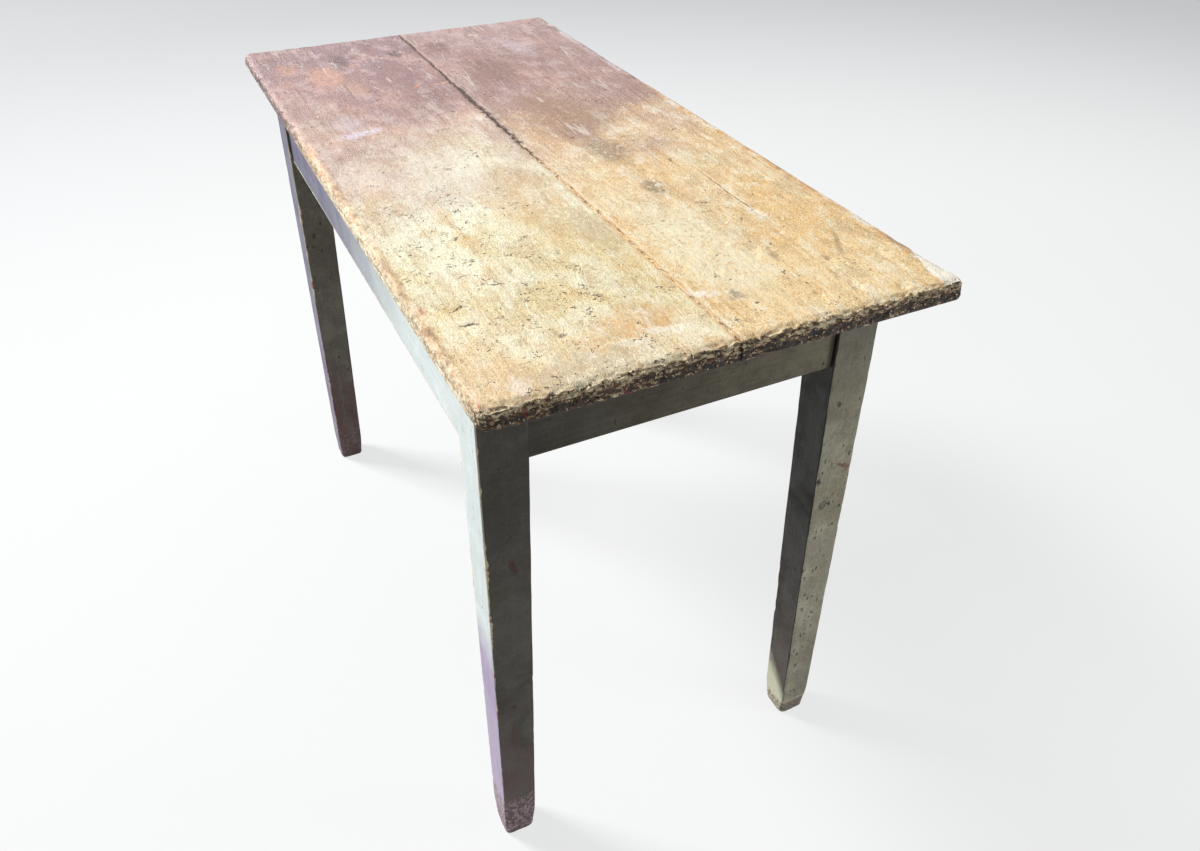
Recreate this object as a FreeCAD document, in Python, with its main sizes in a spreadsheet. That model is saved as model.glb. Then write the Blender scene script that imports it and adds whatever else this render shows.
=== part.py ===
"""Old painted kitchen table: a two-board top on four tapered legs, with two drawers under the front.

Millimetres, +Z up. The origin is on the floor under the middle of the top. The length runs along X and
the drawers face -Y, so left is -X for a person who stands in front of the drawers.
"""

import FreeCAD, Part
import collections
import os
import re
import Sketcher

V = FreeCAD.Vector

# Driving sizes in millimetres. Each one is a cell of the document's sheet, under the same name.
SIZES = {
    # top
    "table_height": 760,
    "top_length": 1070,
    "top_width": 522,
    "top_thick": 22,
    "edge_round": 8,
    "corner_round": 10,
    "end_overhang": 84,
    "side_overhang": 24,
    # seam between the two boards, a tongue in a groove
    "seam_offset": 5,
    "seam_gap": 1.2,
    "tongue_thick": 7,
    "tongue_reach": 8,
    "groove_slack": 0.4,
    # legs
    "leg_top": 54,
    "leg_foot": 41,
    "leg_arris": 2,
    "foot_round": 6,
    # aprons and their tenons
    "apron_height": 115,
    "apron_thick": 22,
    "end_setback": 6,
    "side_setback": 5,
    "tenon_thick": 9,
    "tenon_length": 26,
    "tenon_shoulder": 14,
    "mortise_slack": 1,
    # rails and stile round the drawer openings
    "top_rail_thick": 16,
    "top_rail_depth": 55,
    "lap_length": 24,
    "lap_root": 26,
    "lap_tip": 36,
    "bottom_rail_thick": 20,
    "bottom_rail_depth": 45,
    "rail_tenon_thick": 10,
    "rail_tenon_width": 30,
    "stile_width": 30,
    "stile_thick": 22,
    "stile_tenon_length": 8,
    "stile_tenon_thick": 8,
    "stile_shoulder": 5,
    # runners under the drawers and kickers over them, with guides beside the drawers
    "strip_ledge": 20,
    "strip_tongue_thick": 7,
    "strip_tongue_reach": 8,
    "strip_housing": 5,
    "guide_height": 24,
    # drawers
    "drawer_back_gap": 28,
    "drawer_side_gap": 1.5,
    "drawer_top_gap": 1.7,
    "drawer_rest_gap": 0.3,
    "drawer_front_thick": 19,
    "drawer_side_thick": 11,
    "drawer_back_thick": 11,
    "drawer_bottom_thick": 6,
    "drawer_bottom_rise": 9,
    "drawer_back_drop": 5,
    "drawer_side_overrun": 12,
    "bottom_groove_depth": 5,
    "housing_depth": 4,
    "front_lap": 5,
    "tail_wide": 28,
    "tail_narrow": 22,
    # drawer stops
    "stop_length": 30,
    "stop_depth": 18,
    "stop_height": 5,
    "stop_inset": 88,
    # turned knobs
    "knob_diameter": 30,
    "knob_reach": 24,
    "knob_neck_diameter": 15,
    "knob_neck_length": 9,
    "knob_rim": 6,
    "knob_bevel": 6,
    "knob_dowel": 10,
    # square cut nails, each set in from the end of what it holds
    "nail_shank": 3,
    "nail_head": 7,
    "nail_head_thick": 1.2,
    "top_nail_length": 36,
    "guide_nail_length": 36,
    "bottom_nail_length": 20,
    "side_nail_inset": 77,
    "end_nail_inset": 17,
    "guide_nail_inset": 62,
    "bottom_nail_inset": 48,
}

# Measures that follow from the sizes. A word in a formula is a size or another of these measures.
DERIVED = {
    "underside": "table_height - top_thick",
    "base_length": "top_length - 2 * end_overhang",
    "base_width": "top_width - 2 * side_overhang",
    "apron_foot": "underside - apron_height",
    "mortise_depth": "tenon_length + mortise_slack",
    "rail_top": "apron_foot + bottom_rail_thick",
    "kicker_foot": "underside - top_rail_thick",
    "bay_height": "kicker_foot - rail_top",
    "bay_width": "leg_inner_x - stile_width / 2",
    "leg_inner_x": "base_length / 2 - leg_top",
    "leg_inner_y": "base_width / 2 - leg_top",
    "front_plane": "base_width / 2 - side_setback",
    "apron_inner_x": "base_length / 2 - end_setback - apron_thick",
    "apron_inner_y": "base_width / 2 - side_setback - apron_thick",
    "top_rail_back": "front_plane - top_rail_depth",
    "bottom_rail_back": "front_plane - bottom_rail_depth",
    "drawer_width": "bay_width - 2 * drawer_side_gap",
    "drawer_depth": "front_plane + apron_inner_y - drawer_back_gap",
    "drawer_height": "bay_height - drawer_rest_gap - drawer_top_gap",
    "drawer_inner_x": "drawer_width / 2 - drawer_side_thick",
    "drawer_floor": "drawer_bottom_rise + drawer_bottom_thick",
    "bottom_groove_top": "drawer_floor + groove_slack",
    "drawer_back_end": "drawer_depth - drawer_side_overrun",
    "drawer_back_start": "drawer_back_end - drawer_back_thick",
    "strip_back": "apron_inner_y + strip_housing",
    "middle_strip_half": "stile_width / 2 + strip_ledge",
    "end_nail_x": "base_length / 2 - end_setback - apron_thick / 2",
    "back_nail_y": "base_width / 2 - side_setback - apron_thick / 2",
    "front_nail_y": "front_plane - top_rail_depth / 2",
    "nail_bite": "top_nail_length - top_thick",
    "guide_nail_bite": "guide_nail_length - guide_height",
    "outer_guide_x": "(leg_inner_x + apron_inner_x) / 2",
}

TAILS = 2  # dovetail tails on the front end of each drawer side
LEFT, RIGHT = -1, 1
FRONT, BACK = -1, 1
DOWN, UP = -1, 1

WORD = re.compile(r"[a-z][a-z_]+")
# The two axes that each sketch plane draws along, and the way it faces.
PLANES = {"XY": ("x", "y", "+z"), "XZ": ("x", "z", "-y"), "YZ": ("y", "z", "+x")}

doc = FreeCAD.newDocument("kitchen_table")
sheet = doc.addObject("Spreadsheet::Sheet", "sizes")
for row, (alias, size) in enumerate(SIZES.items(), 1):
    sheet.set(f"A{row}", alias)
    sheet.set(f"B{row}", str(size))
    sheet.setAlias(f"B{row}", alias)
doc.recompute()

sub_parts = []


def formula(text):
    """The sheet expression for a text whose words are sizes or derived measures."""

    def cell(match):
        word = match.group()
        return f"({formula(DERIVED[word])})" if word in DERIVED else f"sizes.{word}"

    return WORD.sub(cell, str(text))


def value(text):
    """The number that such a text comes to now."""
    return float(sheet.evalExpression(formula(text)))


Round = collections.namedtuple("Round", "x y diameter")


class Piece:
    """One piece of wood: a body with a frame of its own, turned about Z, or mirrored along X or Y."""

    def __init__(self, label, origin, turn=0, flip_x=1, flip_y=1):
        self.label = label
        self.flips = {"x": flip_x, "y": flip_y, "z": 1}
        self.body = doc.addObject("PartDesign::Body", label)
        self.body.Label = label
        self.body.Placement = FreeCAD.Placement(V(), FreeCAD.Rotation(V(0, 0, 1), turn))
        for axis, text in zip("xyz", origin):
            self.body.setExpression(f"Placement.Base.{axis}", formula(text))
        sub_parts.append(self.body)

    def sketch(self, name, plane, level):
        """An empty sketch on one of the body's own planes, at a level along the axis it faces."""
        sketch = self.body.newObject("Sketcher::SketchObject", f"{self.label}_{name}_sketch")
        origin_plane = next(o for o in self.body.Origin.OriginFeatures if o.Role == f"{plane}_Plane")
        sketch.AttachmentSupport = [(origin_plane, "")]
        sketch.MapMode = "FlatFace"
        facing = PLANES[plane][2]
        sketch.setExpression("AttachmentOffset.Base.z", formula(f"{facing[0]}1 * ({level})"))
        return sketch

    def draw(self, sketch, plane, points):
        """A closed outline of straight lines through points (x, y), each held at its place."""
        across, up, _ = PLANES[plane]
        first = sketch.GeometryCount
        texts = [(f"{self.flips[across]} * ({x})", f"{self.flips[up]} * ({y})") for x, y in points]
        spots = [V(value(x), value(y), 0) for x, y in texts]
        for start, end in zip(spots, spots[1:] + spots[:1]):
            sketch.addGeometry(Part.LineSegment(start, end), False)
        for i, text in enumerate(texts):
            line, following = first + i, first + (i + 1) % len(points)
            sketch.addConstraint(Sketcher.Constraint("Coincident", line, 2, following, 1))
            for kind, place, now in zip(("DistanceX", "DistanceY"), text, spots[i]):
                index = sketch.addConstraint(Sketcher.Constraint(kind, -1, 1, line, 1, now))
                sketch.setExpression(f"Constraints[{index}]", formula(place))

    def draw_round(self, sketch, plane, hole):
        """A circle round a point of the plane."""
        across, up, _ = PLANES[plane]
        x, y = f"{self.flips[across]} * ({hole.x})", f"{self.flips[up]} * ({hole.y})"
        spot = V(value(x), value(y), 0)
        circle = sketch.addGeometry(Part.Circle(spot, V(0, 0, 1), value(hole.diameter) / 2), False)
        for kind, place, now in (("DistanceX", x, spot.x), ("DistanceY", y, spot.y)):
            index = sketch.addConstraint(Sketcher.Constraint(kind, -1, 1, circle, 3, now))
            sketch.setExpression(f"Constraints[{index}]", formula(place))
        index = sketch.addConstraint(Sketcher.Constraint("Diameter", circle, value(hole.diameter)))
        sketch.setExpression(f"Constraints[{index}]", formula(hole.diameter))

    def extrude(self, kind, name, plane, start, length, outlines):
        """A pad or pocket of outlines, from start to start + length along the axis that the plane faces."""
        sign, axis = PLANES[plane][2]
        level = start if self.flips[axis] == 1 else f"-({start}) - ({length})"
        before = self.body.Shape.Volume if self.body.Tip else 0.0
        sketch = self.sketch(name, plane, level)
        for outline in outlines:
            if isinstance(outline, Round):
                self.draw_round(sketch, plane, outline)
            else:
                self.draw(sketch, plane, outline)
        feature = self.body.newObject(f"PartDesign::{kind}", f"{self.label}_{name}")
        feature.Profile = sketch
        feature.setExpression("Length", formula(length))
        feature.Reversed = (sign == "-") == (kind == "Pad")
        doc.recompute()
        grown = self.body.Shape.Volume - before
        if (grown > 0) != (kind == "Pad"):
            raise ValueError(f"{self.label}: {name} changes the volume by {grown:.3f}")

    def pad(self, name, plane, start, length, *outlines):
        """Adds the outlines' prism."""
        self.extrude("Pad", name, plane, start, length, outlines)

    def pocket(self, name, plane, start, length, *outlines):
        """Takes the outlines' prism away."""
        self.extrude("Pocket", name, plane, start, length, outlines)

    def revolve(self, name, outline):
        """Adds the outline, drawn on the XY plane, turned about the Y axis."""
        sketch = self.sketch(name, "XY", "0")
        self.draw(sketch, "XY", outline)
        feature = self.body.newObject("PartDesign::Revolution", f"{self.label}_{name}")
        feature.Profile = sketch
        feature.ReferenceAxis = (sketch, ["V_Axis"])
        feature.Angle = 360
        doc.recompute()

    def fillet(self, name, radius, chosen):
        """Rounds the edges for which chosen(lowest corner, highest corner) is true."""
        tip = self.body.Tip
        edges = []
        for number, edge in enumerate(tip.Shape.Edges, 1):
            box = edge.BoundBox
            low = (box.XMin, box.YMin, box.ZMin)
            high = (box.XMax, box.YMax, box.ZMax)
            if chosen(low, high):
                edges.append(f"Edge{number}")
        feature = self.body.newObject("PartDesign::Fillet", f"{self.label}_{name}")
        feature.Base = (tip, edges)
        feature.setExpression("Radius", formula(radius))
        doc.recompute()


def rectangle(x_low, y_low, x_high, y_high):
    """The outline of a rectangle between two corners."""
    return [(x_low, y_low), (x_high, y_low), (x_high, y_high), (x_low, y_high)]


def centred(width, y_low, y_high):
    """The outline of a rectangle that is centred across the sketch."""
    return rectangle(f"-({width}) / 2", y_low, f"({width}) / 2", y_high)


def square(x, y, side):
    """The outline of a square round a point."""
    return rectangle(f"{x} - {side} / 2", f"{y} - {side} / 2", f"{x} + {side} / 2", f"{y} + {side} / 2")


def near(a, b):
    """Whether two coordinates are the same."""
    return abs(a - b) < 0.01


def box(label, low, high):
    """A plain strip or block between two corners."""
    block = doc.addObject("Part::Box", label)
    block.Label = label
    for axis, size_name, start, end in zip("xyz", ("Length", "Width", "Height"), low, high):
        block.setExpression(f"Placement.Base.{axis}", formula(start))
        block.setExpression(size_name, formula(f"({end}) - ({start})"))
    return block


# Top

def end_nail_rows():
    """How far from the middle the nails into an end apron stand, two in each board."""
    return [f"{share} * (leg_inner_y - end_nail_inset)" for share in ("-1", "-1 / 3", "1 / 3", "1")]


def side_nail_columns():
    """How far from the middle the nails into the back apron and the front rail stand."""
    return [f"{share} * (leg_inner_x - side_nail_inset)" for share in (LEFT, 0, RIGHT)]


def top_nail_places():
    """Where the nails go through the top into the end aprons, the back apron and the front rail."""
    ends = [(f"{end} * end_nail_x", row) for end in (LEFT, RIGHT) for row in end_nail_rows()]
    sides = [(column, line) for line in ("back_nail_y", "-front_nail_y") for column in side_nail_columns()]
    return ends + sides


def top_board(label, side):
    """One of the top's two boards, worn round outside, with the tongue or the groove on its inner edge."""
    seam = f"seam_offset + {side} * seam_gap / 2"
    board = Piece(label, ("0", "0", "underside"))
    board.pad("blank", "XY", "0", "top_thick", centred("top_length", seam, f"{side} * top_width / 2"))
    outer_y = side * value("top_width") / 2
    half_length = value("top_length") / 2
    thick = value("top_thick")

    def is_corner(low, high):
        return near(low[1], outer_y) and near(high[1], outer_y) and near(low[2], 0) and near(high[2], thick)

    def is_rim(low, high):
        flat = near(low[2], high[2])
        at_seam = near(low[1], value(seam)) and near(high[1], value(seam))
        return flat and not at_seam

    board.fillet("corners", "corner_round", is_corner)
    board.fillet("rim", "edge_round", is_rim)
    middle = ("(top_thick - tongue_thick) / 2", "(top_thick + tongue_thick) / 2")
    if side == FRONT:
        reach = "seam_offset - seam_gap / 2 + tongue_reach"
        section = rectangle(seam, middle[0], reach, middle[1])
        board.pad("tongue", "YZ", "edge_round - top_length / 2", "top_length - 2 * edge_round", section)
    else:
        floor = "seam_offset - seam_gap / 2 + tongue_reach + groove_slack"
        section = rectangle(seam, middle[0], floor, middle[1])
        board.pocket("groove", "YZ", "-top_length / 2", "top_length", section)
    places = [(x, y) for x, y in top_nail_places() if side * (value(y) - value("seam_offset")) > 0]
    holes = [square(x, y, "nail_shank") for x, y in places]
    board.pocket("nail_holes", "XY", "0", "top_thick", *holes)
    sinks = [square(x, y, "nail_head") for x, y in places]
    board.pocket("nail_sinks", "XY", "top_thick - nail_head_thick", "nail_head_thick", *sinks)


# Legs

def leg(label, side_x, side_y):
    """A square leg, tapered on its two inner faces from the aprons down. Its frame starts at the outer
    corner on the floor, and its X and Y run inwards."""
    origin = (f"{side_x} * base_length / 2", f"{side_y} * base_width / 2", "0")
    post = Piece(label, origin, flip_x=-side_x, flip_y=-side_y)
    post.pad("blank", "XY", "0", "underside", rectangle("0", "0", "leg_top", "leg_top"))
    taper = [("leg_foot", "0"), ("leg_top", "0"), ("leg_top", "apron_foot")]
    post.pocket("taper_across", "XZ", "0", "leg_top", taper)
    post.pocket("taper_along", "YZ", "0", "leg_top", taper)
    height = value("underside")

    def is_foot_edge(low, high):
        return near(low[2], 0) and near(high[2], 0)

    def is_outer_arris(low, high):
        on_outer_face = any(near(low[axis], 0) and near(high[axis], 0) for axis in (0, 1))
        return on_outer_face and high[2] - low[2] > height / 10

    post.fillet("foot", "foot_round", is_foot_edge)
    post.fillet("arrises", "leg_arris", is_outer_arris)

    tenon_low, tenon_high = "apron_foot + tenon_shoulder", "underside - tenon_shoulder"
    socket_start = "leg_top - mortise_depth"
    apron_centre = "end_setback + apron_thick / 2"
    slot = rectangle(
        f"{apron_centre} - tenon_thick / 2", tenon_low, f"{apron_centre} + tenon_thick / 2", tenon_high
    )
    post.pocket("end_mortise", "XZ", socket_start, "mortise_depth", slot)
    if side_y == BACK:
        apron_centre = "side_setback + apron_thick / 2"
        slot = rectangle(
            f"{apron_centre} - tenon_thick / 2", tenon_low, f"{apron_centre} + tenon_thick / 2", tenon_high
        )
        post.pocket("side_mortise", "YZ", socket_start, "mortise_depth", slot)
        return
    rail_middle = "side_setback + bottom_rail_depth / 2"
    rail_level = "apron_foot + bottom_rail_thick / 2"
    slot = rectangle(
        f"{rail_middle} - rail_tenon_width / 2",
        f"{rail_level} - rail_tenon_thick / 2",
        f"{rail_middle} + rail_tenon_width / 2",
        f"{rail_level} + rail_tenon_thick / 2",
    )
    post.pocket("rail_mortise", "YZ", socket_start, "mortise_depth", slot)
    lap_middle = "side_setback + top_rail_depth / 2"
    socket = [
        ("leg_top", f"{lap_middle} - lap_root / 2"),
        ("leg_top", f"{lap_middle} + lap_root / 2"),
        ("leg_top - lap_length", f"{lap_middle} + lap_tip / 2"),
        ("leg_top - lap_length", f"{lap_middle} - lap_tip / 2"),
    ]
    post.pocket("lap_socket", "XY", "kicker_foot", "top_rail_thick", socket)


# Aprons and rails

def apron(label, span, origin, turn, nail_columns):
    """An apron board with a tenon at each end. Its frame starts at the middle of its outer face, with X
    along its length and Y inwards."""
    board = Piece(label, origin, turn)
    board.pad("board", "XZ", "0", "apron_thick", centred(span, "0", "apron_height"))
    tenons = centred(f"{span} + 2 * tenon_length", "tenon_shoulder", "apron_height - tenon_shoulder")
    board.pad("tenons", "XZ", "(apron_thick - tenon_thick) / 2", "tenon_thick", tenons)
    holes = [square(column, "apron_thick / 2", "nail_shank") for column in nail_columns]
    board.pocket("nail_holes", "XY", "apron_height - nail_bite", "nail_bite", *holes)
    return board


def aprons():
    """The two end aprons, and the back apron with housings for the ends of the runners and kickers."""
    end_face = "base_length / 2 - end_setback"
    apron("apron_left", "2 * leg_inner_y", (f"-({end_face})", "0", "apron_foot"), -90, end_nail_rows())
    apron("apron_right", "2 * leg_inner_y", (end_face, "0", "apron_foot"), 90, end_nail_rows())
    origin = ("0", "front_plane", "apron_foot")
    back = apron("apron_back", "2 * leg_inner_x", origin, 180, side_nail_columns())
    columns = [
        ("-leg_inner_x", "strip_ledge - leg_inner_x"),
        ("-middle_strip_half", "middle_strip_half"),
        ("leg_inner_x - strip_ledge", "leg_inner_x"),
    ]
    levels = [("0", "bottom_rail_thick"), ("apron_height - top_rail_thick", "apron_height")]
    housings = [rectangle(left, low, right, high) for left, right in columns for low, high in levels]
    back.pocket("housings", "XZ", "apron_thick - strip_housing", "strip_housing", *housings)


def top_rail():
    """The flat rail above the drawers, lapped into the tops of the front legs with dovetails."""
    rail = Piece("rail_top_front", ("0", "-front_plane", "kicker_foot"))
    middle = "top_rail_depth / 2"
    right_end = [
        ("leg_inner_x", "0"),
        ("leg_inner_x", f"{middle} - lap_root / 2"),
        ("leg_inner_x + lap_length", f"{middle} - lap_tip / 2"),
        ("leg_inner_x + lap_length", f"{middle} + lap_tip / 2"),
        ("leg_inner_x", f"{middle} + lap_root / 2"),
        ("leg_inner_x", "top_rail_depth"),
    ]
    left_end = [(f"-({x})", y) for x, y in reversed(right_end)]
    rail.pad("rail", "XY", "0", "top_rail_thick", right_end + left_end)
    rail.pocket("stile_mortise", "XY", "0", "stile_tenon_length", stile_tenon())
    strip_groove(rail, "top_rail_depth", "top_rail_thick")
    holes = [square(column, middle, "nail_shank") for column in side_nail_columns()]
    rail.pocket("nail_holes", "XY", "top_rail_thick - nail_bite", "nail_bite", *holes)


def strip_groove(rail, depth, thick):
    """The groove along a rail's back edge for the tongues of the strips behind it."""
    low, high = f"({thick} - strip_tongue_thick) / 2", f"({thick} + strip_tongue_thick) / 2"
    section = rectangle(f"{depth} - strip_tongue_reach", low, depth, high)
    rail.pocket("strip_groove", "YZ", "-leg_inner_x", "2 * leg_inner_x", section)


def stile_tenon():
    """The section of the stile's tenons, in a frame that starts at the front face."""
    return centred(
        "stile_width - 2 * stile_shoulder",
        "(stile_thick - stile_tenon_thick) / 2",
        "(stile_thick + stile_tenon_thick) / 2",
    )


def bottom_rail():
    """The flat rail under the drawers, tenoned into the front legs and grooved behind for the runners."""
    rail = Piece("rail_bottom_front", ("0", "-front_plane", "apron_foot"))
    section = rectangle("0", "0", "bottom_rail_depth", "bottom_rail_thick")
    rail.pad("rail", "YZ", "-leg_inner_x", "2 * leg_inner_x", section)
    tenons = rectangle(
        "(bottom_rail_depth - rail_tenon_width) / 2",
        "(bottom_rail_thick - rail_tenon_thick) / 2",
        "(bottom_rail_depth + rail_tenon_width) / 2",
        "(bottom_rail_thick + rail_tenon_thick) / 2",
    )
    rail.pad("tenons", "YZ", "-leg_inner_x - tenon_length", "2 * (leg_inner_x + tenon_length)", tenons)
    depth = "bottom_rail_thick - stile_tenon_length"
    rail.pocket("stile_mortise", "XY", depth, "stile_tenon_length", stile_tenon())
    strip_groove(rail, "bottom_rail_depth", "bottom_rail_thick")


def centre_stile():
    """The short upright between the two drawers, with a stub tenon in each rail."""
    stile = Piece("stile_center", ("0", "-front_plane", "rail_top"))
    stile.pad("stile", "XZ", "0", "stile_thick", centred("stile_width", "0", "bay_height"))
    stile.pad("tenons", "XY", "-stile_tenon_length", "bay_height + 2 * stile_tenon_length", stile_tenon())


# Runners, kickers and guides

def outer_strip(front_y):
    """The plan of a strip from a front rail to the back apron, notched round the two legs at its end."""
    return [
        ("leg_inner_x - strip_ledge", f"-({front_y})"),
        ("leg_inner_x", f"-({front_y})"),
        ("leg_inner_x", "-leg_inner_y"),
        ("apron_inner_x", "-leg_inner_y"),
        ("apron_inner_x", "leg_inner_y"),
        ("leg_inner_x", "leg_inner_y"),
        ("leg_inner_x", "strip_back"),
        ("leg_inner_x - strip_ledge", "strip_back"),
    ]


def strips(kind, level, thick, front_y):
    """The left, middle and right strip at a level. Each has a tongue in the rail at its front end."""
    middle = rectangle("-middle_strip_half", f"-({front_y})", "middle_strip_half", "strip_back")
    made = {}
    for name, side, plan, x_low, x_high in (
        ("left", LEFT, outer_strip(front_y), "leg_inner_x - strip_ledge", "leg_inner_x"),
        ("center", RIGHT, middle, "-middle_strip_half", "middle_strip_half"),
        ("right", RIGHT, outer_strip(front_y), "leg_inner_x - strip_ledge", "leg_inner_x"),
    ):
        strip = Piece(f"{kind}_{name}", ("0", "0", level), flip_x=side)
        strip.pad("strip", "XY", "0", thick, plan)
        tongue = rectangle(x_low, f"-({front_y}) - strip_tongue_reach", x_high, f"-({front_y})")
        strip.pad("tongue", "XY", f"({thick} - strip_tongue_thick) / 2", "strip_tongue_thick", tongue)
        made[name] = strip
    return made


def drawer_carriers():
    """The runners that the drawers slide on, the kickers that keep them level, and the nailed guides."""
    strips("kicker", "kicker_foot", "top_rail_thick", "top_rail_back")
    runners = strips("runner", "apron_foot", "bottom_rail_thick", "bottom_rail_back")
    outer_plan = rectangle("leg_inner_x", "-leg_inner_y", "apron_inner_x", "leg_inner_y")
    middle_plan = centred("stile_width", "stile_thick - front_plane", "apron_inner_y")
    nail_places = []
    for name, side, plan, x in (
        ("left", LEFT, outer_plan, "outer_guide_x"),
        ("center", RIGHT, middle_plan, "0"),
        ("right", RIGHT, outer_plan, "outer_guide_x"),
    ):
        guide = Piece(f"guide_{name}", ("0", "0", "rail_top"), flip_x=side)
        guide.pad("strip", "XY", "0", "guide_height", plan)
        rows = [f"{end} * (leg_inner_y - guide_nail_inset)" for end in (FRONT, BACK)]
        holes = [square(x, row, "nail_shank") for row in rows]
        guide.pocket("nail_holes", "XY", "0", "guide_height", *holes)
        sinks = [square(x, row, "nail_head") for row in rows]
        guide.pocket("nail_sinks", "XY", "guide_height - nail_head_thick", "nail_head_thick", *sinks)
        bite_floor = "bottom_rail_thick - guide_nail_bite"
        runners[name].pocket("nail_holes", "XY", bite_floor, "guide_nail_bite", *holes)
        nail_places += [(f"{side} * {x}", row, "rail_top + guide_height") for row in rows]
    nails("guide_nails", nail_places, "guide_nail_length", DOWN)


def drawer_stops():
    """Two small blocks on the bottom rail behind each drawer front."""
    front = "drawer_front_thick + drawer_rest_gap - front_plane"
    blocks = []
    for side in (LEFT, RIGHT):
        for place in (LEFT, RIGHT):
            middle = f"{side} * (stile_width + bay_width) / 2 + {place} * (drawer_inner_x - stop_inset)"
            low = (f"{middle} - stop_length / 2", front, "rail_top")
            high = (f"{middle} + stop_length / 2", f"{front} + stop_depth", "rail_top + stop_height")
            blocks.append(box(f"drawer_stop_{len(blocks) + 1}", low, high))
    group = doc.addObject("Part::Compound", "drawer_stops")
    group.Label = "drawer_stops"
    group.Links = blocks
    sub_parts.append(group)


# Drawers

def tail_corners(number, root, tip):
    """The four corners of one dovetail tail, which widens from its root to its tip, from the lowest up."""
    middle = f"({number} + 0.5) * drawer_height / {TAILS}"
    return [
        (root, f"{middle} - tail_narrow / 2"),
        (tip, f"{middle} - tail_wide / 2"),
        (tip, f"{middle} + tail_wide / 2"),
        (root, f"{middle} + tail_narrow / 2"),
    ]


def drawer_front(label, origin):
    """A drawer front with lapped dovetail sockets, a groove for the bottom and a hole for the knob."""
    front = Piece(label, origin)
    front.pad("board", "XZ", "0", "drawer_front_thick", centred("drawer_width", "0", "drawer_height"))
    sockets = [tail_corners(number, "drawer_front_thick", "front_lap") for number in range(TAILS)]
    front.pocket("left_sockets", "YZ", "-drawer_width / 2", "drawer_side_thick", *sockets)
    front.pocket("right_sockets", "YZ", "drawer_inner_x", "drawer_side_thick", *sockets)
    groove_y = "drawer_front_thick - bottom_groove_depth"
    groove = rectangle(groove_y, "drawer_bottom_rise", "drawer_front_thick", "bottom_groove_top")
    groove_end = "drawer_inner_x + bottom_groove_depth"
    front.pocket("bottom_groove", "YZ", f"-({groove_end})", f"2 * ({groove_end})", groove)
    dowel_hole = Round("0", "drawer_height / 2", "knob_dowel")
    front.pocket("knob_hole", "XZ", "0", "drawer_front_thick", dowel_hole)


def drawer_side(label, origin, side):
    """A drawer side with dovetail tails, a groove for the bottom and a housing for the back."""
    board = Piece(label, origin, flip_x=side)
    outline = [
        ("drawer_front_thick", "0"),
        ("drawer_depth", "0"),
        ("drawer_depth", "drawer_height"),
        ("drawer_front_thick", "drawer_height"),
    ]
    for number in reversed(range(TAILS)):
        outline += reversed(tail_corners(number, "drawer_front_thick", "front_lap"))
    board.pad("board", "YZ", "drawer_inner_x", "drawer_side_thick", outline)
    groove = rectangle("front_lap", "drawer_bottom_rise", "drawer_depth", "bottom_groove_top")
    board.pocket("bottom_groove", "YZ", "drawer_inner_x", "bottom_groove_depth", groove)
    housing = rectangle("drawer_back_start", "bottom_groove_top", "drawer_back_end", "drawer_height")
    board.pocket("back_housing", "YZ", "drawer_inner_x", "housing_depth", housing)


def bottom_nail_columns():
    """How far across the drawer the nails through its bottom stand."""
    return [f"{share} * (drawer_inner_x - bottom_nail_inset)" for share in (LEFT, 0, RIGHT)]


def drawer_back_and_bottom(prefix, origin):
    """The back, housed in the sides, and the bottom, which slides in under it and is nailed to it."""
    back = Piece(f"{prefix}_back", origin)
    width = "2 * (drawer_inner_x + housing_depth)"
    upright = centred(width, "drawer_floor", "drawer_height - drawer_back_drop")
    back.pad("board", "XZ", "drawer_back_start", "drawer_back_thick", upright)
    middle = "drawer_back_end - drawer_back_thick / 2"
    holes = [square(column, middle, "nail_shank") for column in bottom_nail_columns()]
    back.pocket("nail_holes", "XY", "drawer_floor", "bottom_nail_length - drawer_bottom_thick", *holes)
    width = "2 * (drawer_inner_x + bottom_groove_depth)"
    panel = Piece(f"{prefix}_bottom", origin)
    plan = centred(width, "drawer_front_thick - bottom_groove_depth", "drawer_back_end")
    panel.pad("panel", "XY", "drawer_bottom_rise", "drawer_bottom_thick", plan)
    panel.pocket("nail_holes", "XY", "drawer_bottom_rise", "drawer_bottom_thick", *holes)
    sinks = [square(column, middle, "nail_head") for column in bottom_nail_columns()]
    panel.pocket("nail_sinks", "XY", "drawer_bottom_rise", "nail_head_thick", *sinks)


def knob(label, origin):
    """A turned knob with a bevelled face, a neck and a dowel that goes through the drawer front."""
    x, y, z = origin
    turned = Piece(label, (x, y, f"{z} + drawer_height / 2"))
    profile = [
        ("0", "drawer_front_thick"),
        ("0", "-knob_reach"),
        ("knob_diameter / 2 - knob_bevel", "-knob_reach"),
        ("knob_diameter / 2", "-knob_neck_length - knob_rim"),
        ("knob_diameter / 2", "-knob_neck_length"),
        ("knob_neck_diameter / 2", "-knob_neck_length / 2"),
        ("knob_neck_diameter / 2", "0"),
        ("knob_dowel / 2", "0"),
        ("knob_dowel / 2", "drawer_front_thick"),
    ]
    turned.revolve("profile", profile)


def drawer(prefix, side):
    """One drawer. Its frame starts at the middle of the foot of its front face, with Y inwards."""
    origin = (f"{side} * (stile_width + bay_width) / 2", "-front_plane", "rail_top + drawer_rest_gap")
    drawer_front(f"{prefix}_front", origin)
    drawer_side(f"{prefix}_side_left", origin, LEFT)
    drawer_side(f"{prefix}_side_right", origin, RIGHT)
    drawer_back_and_bottom(prefix, origin)
    knob(f"{prefix}_knob", origin)
    y = f"{origin[1]} + drawer_back_end - drawer_back_thick / 2"
    z = f"{origin[2]} + drawer_bottom_rise"
    places = [(f"{origin[0]} + {column}", y, z) for column in bottom_nail_columns()]
    nails(f"{prefix}_nails", places, "bottom_nail_length", UP)


# Nails

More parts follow.
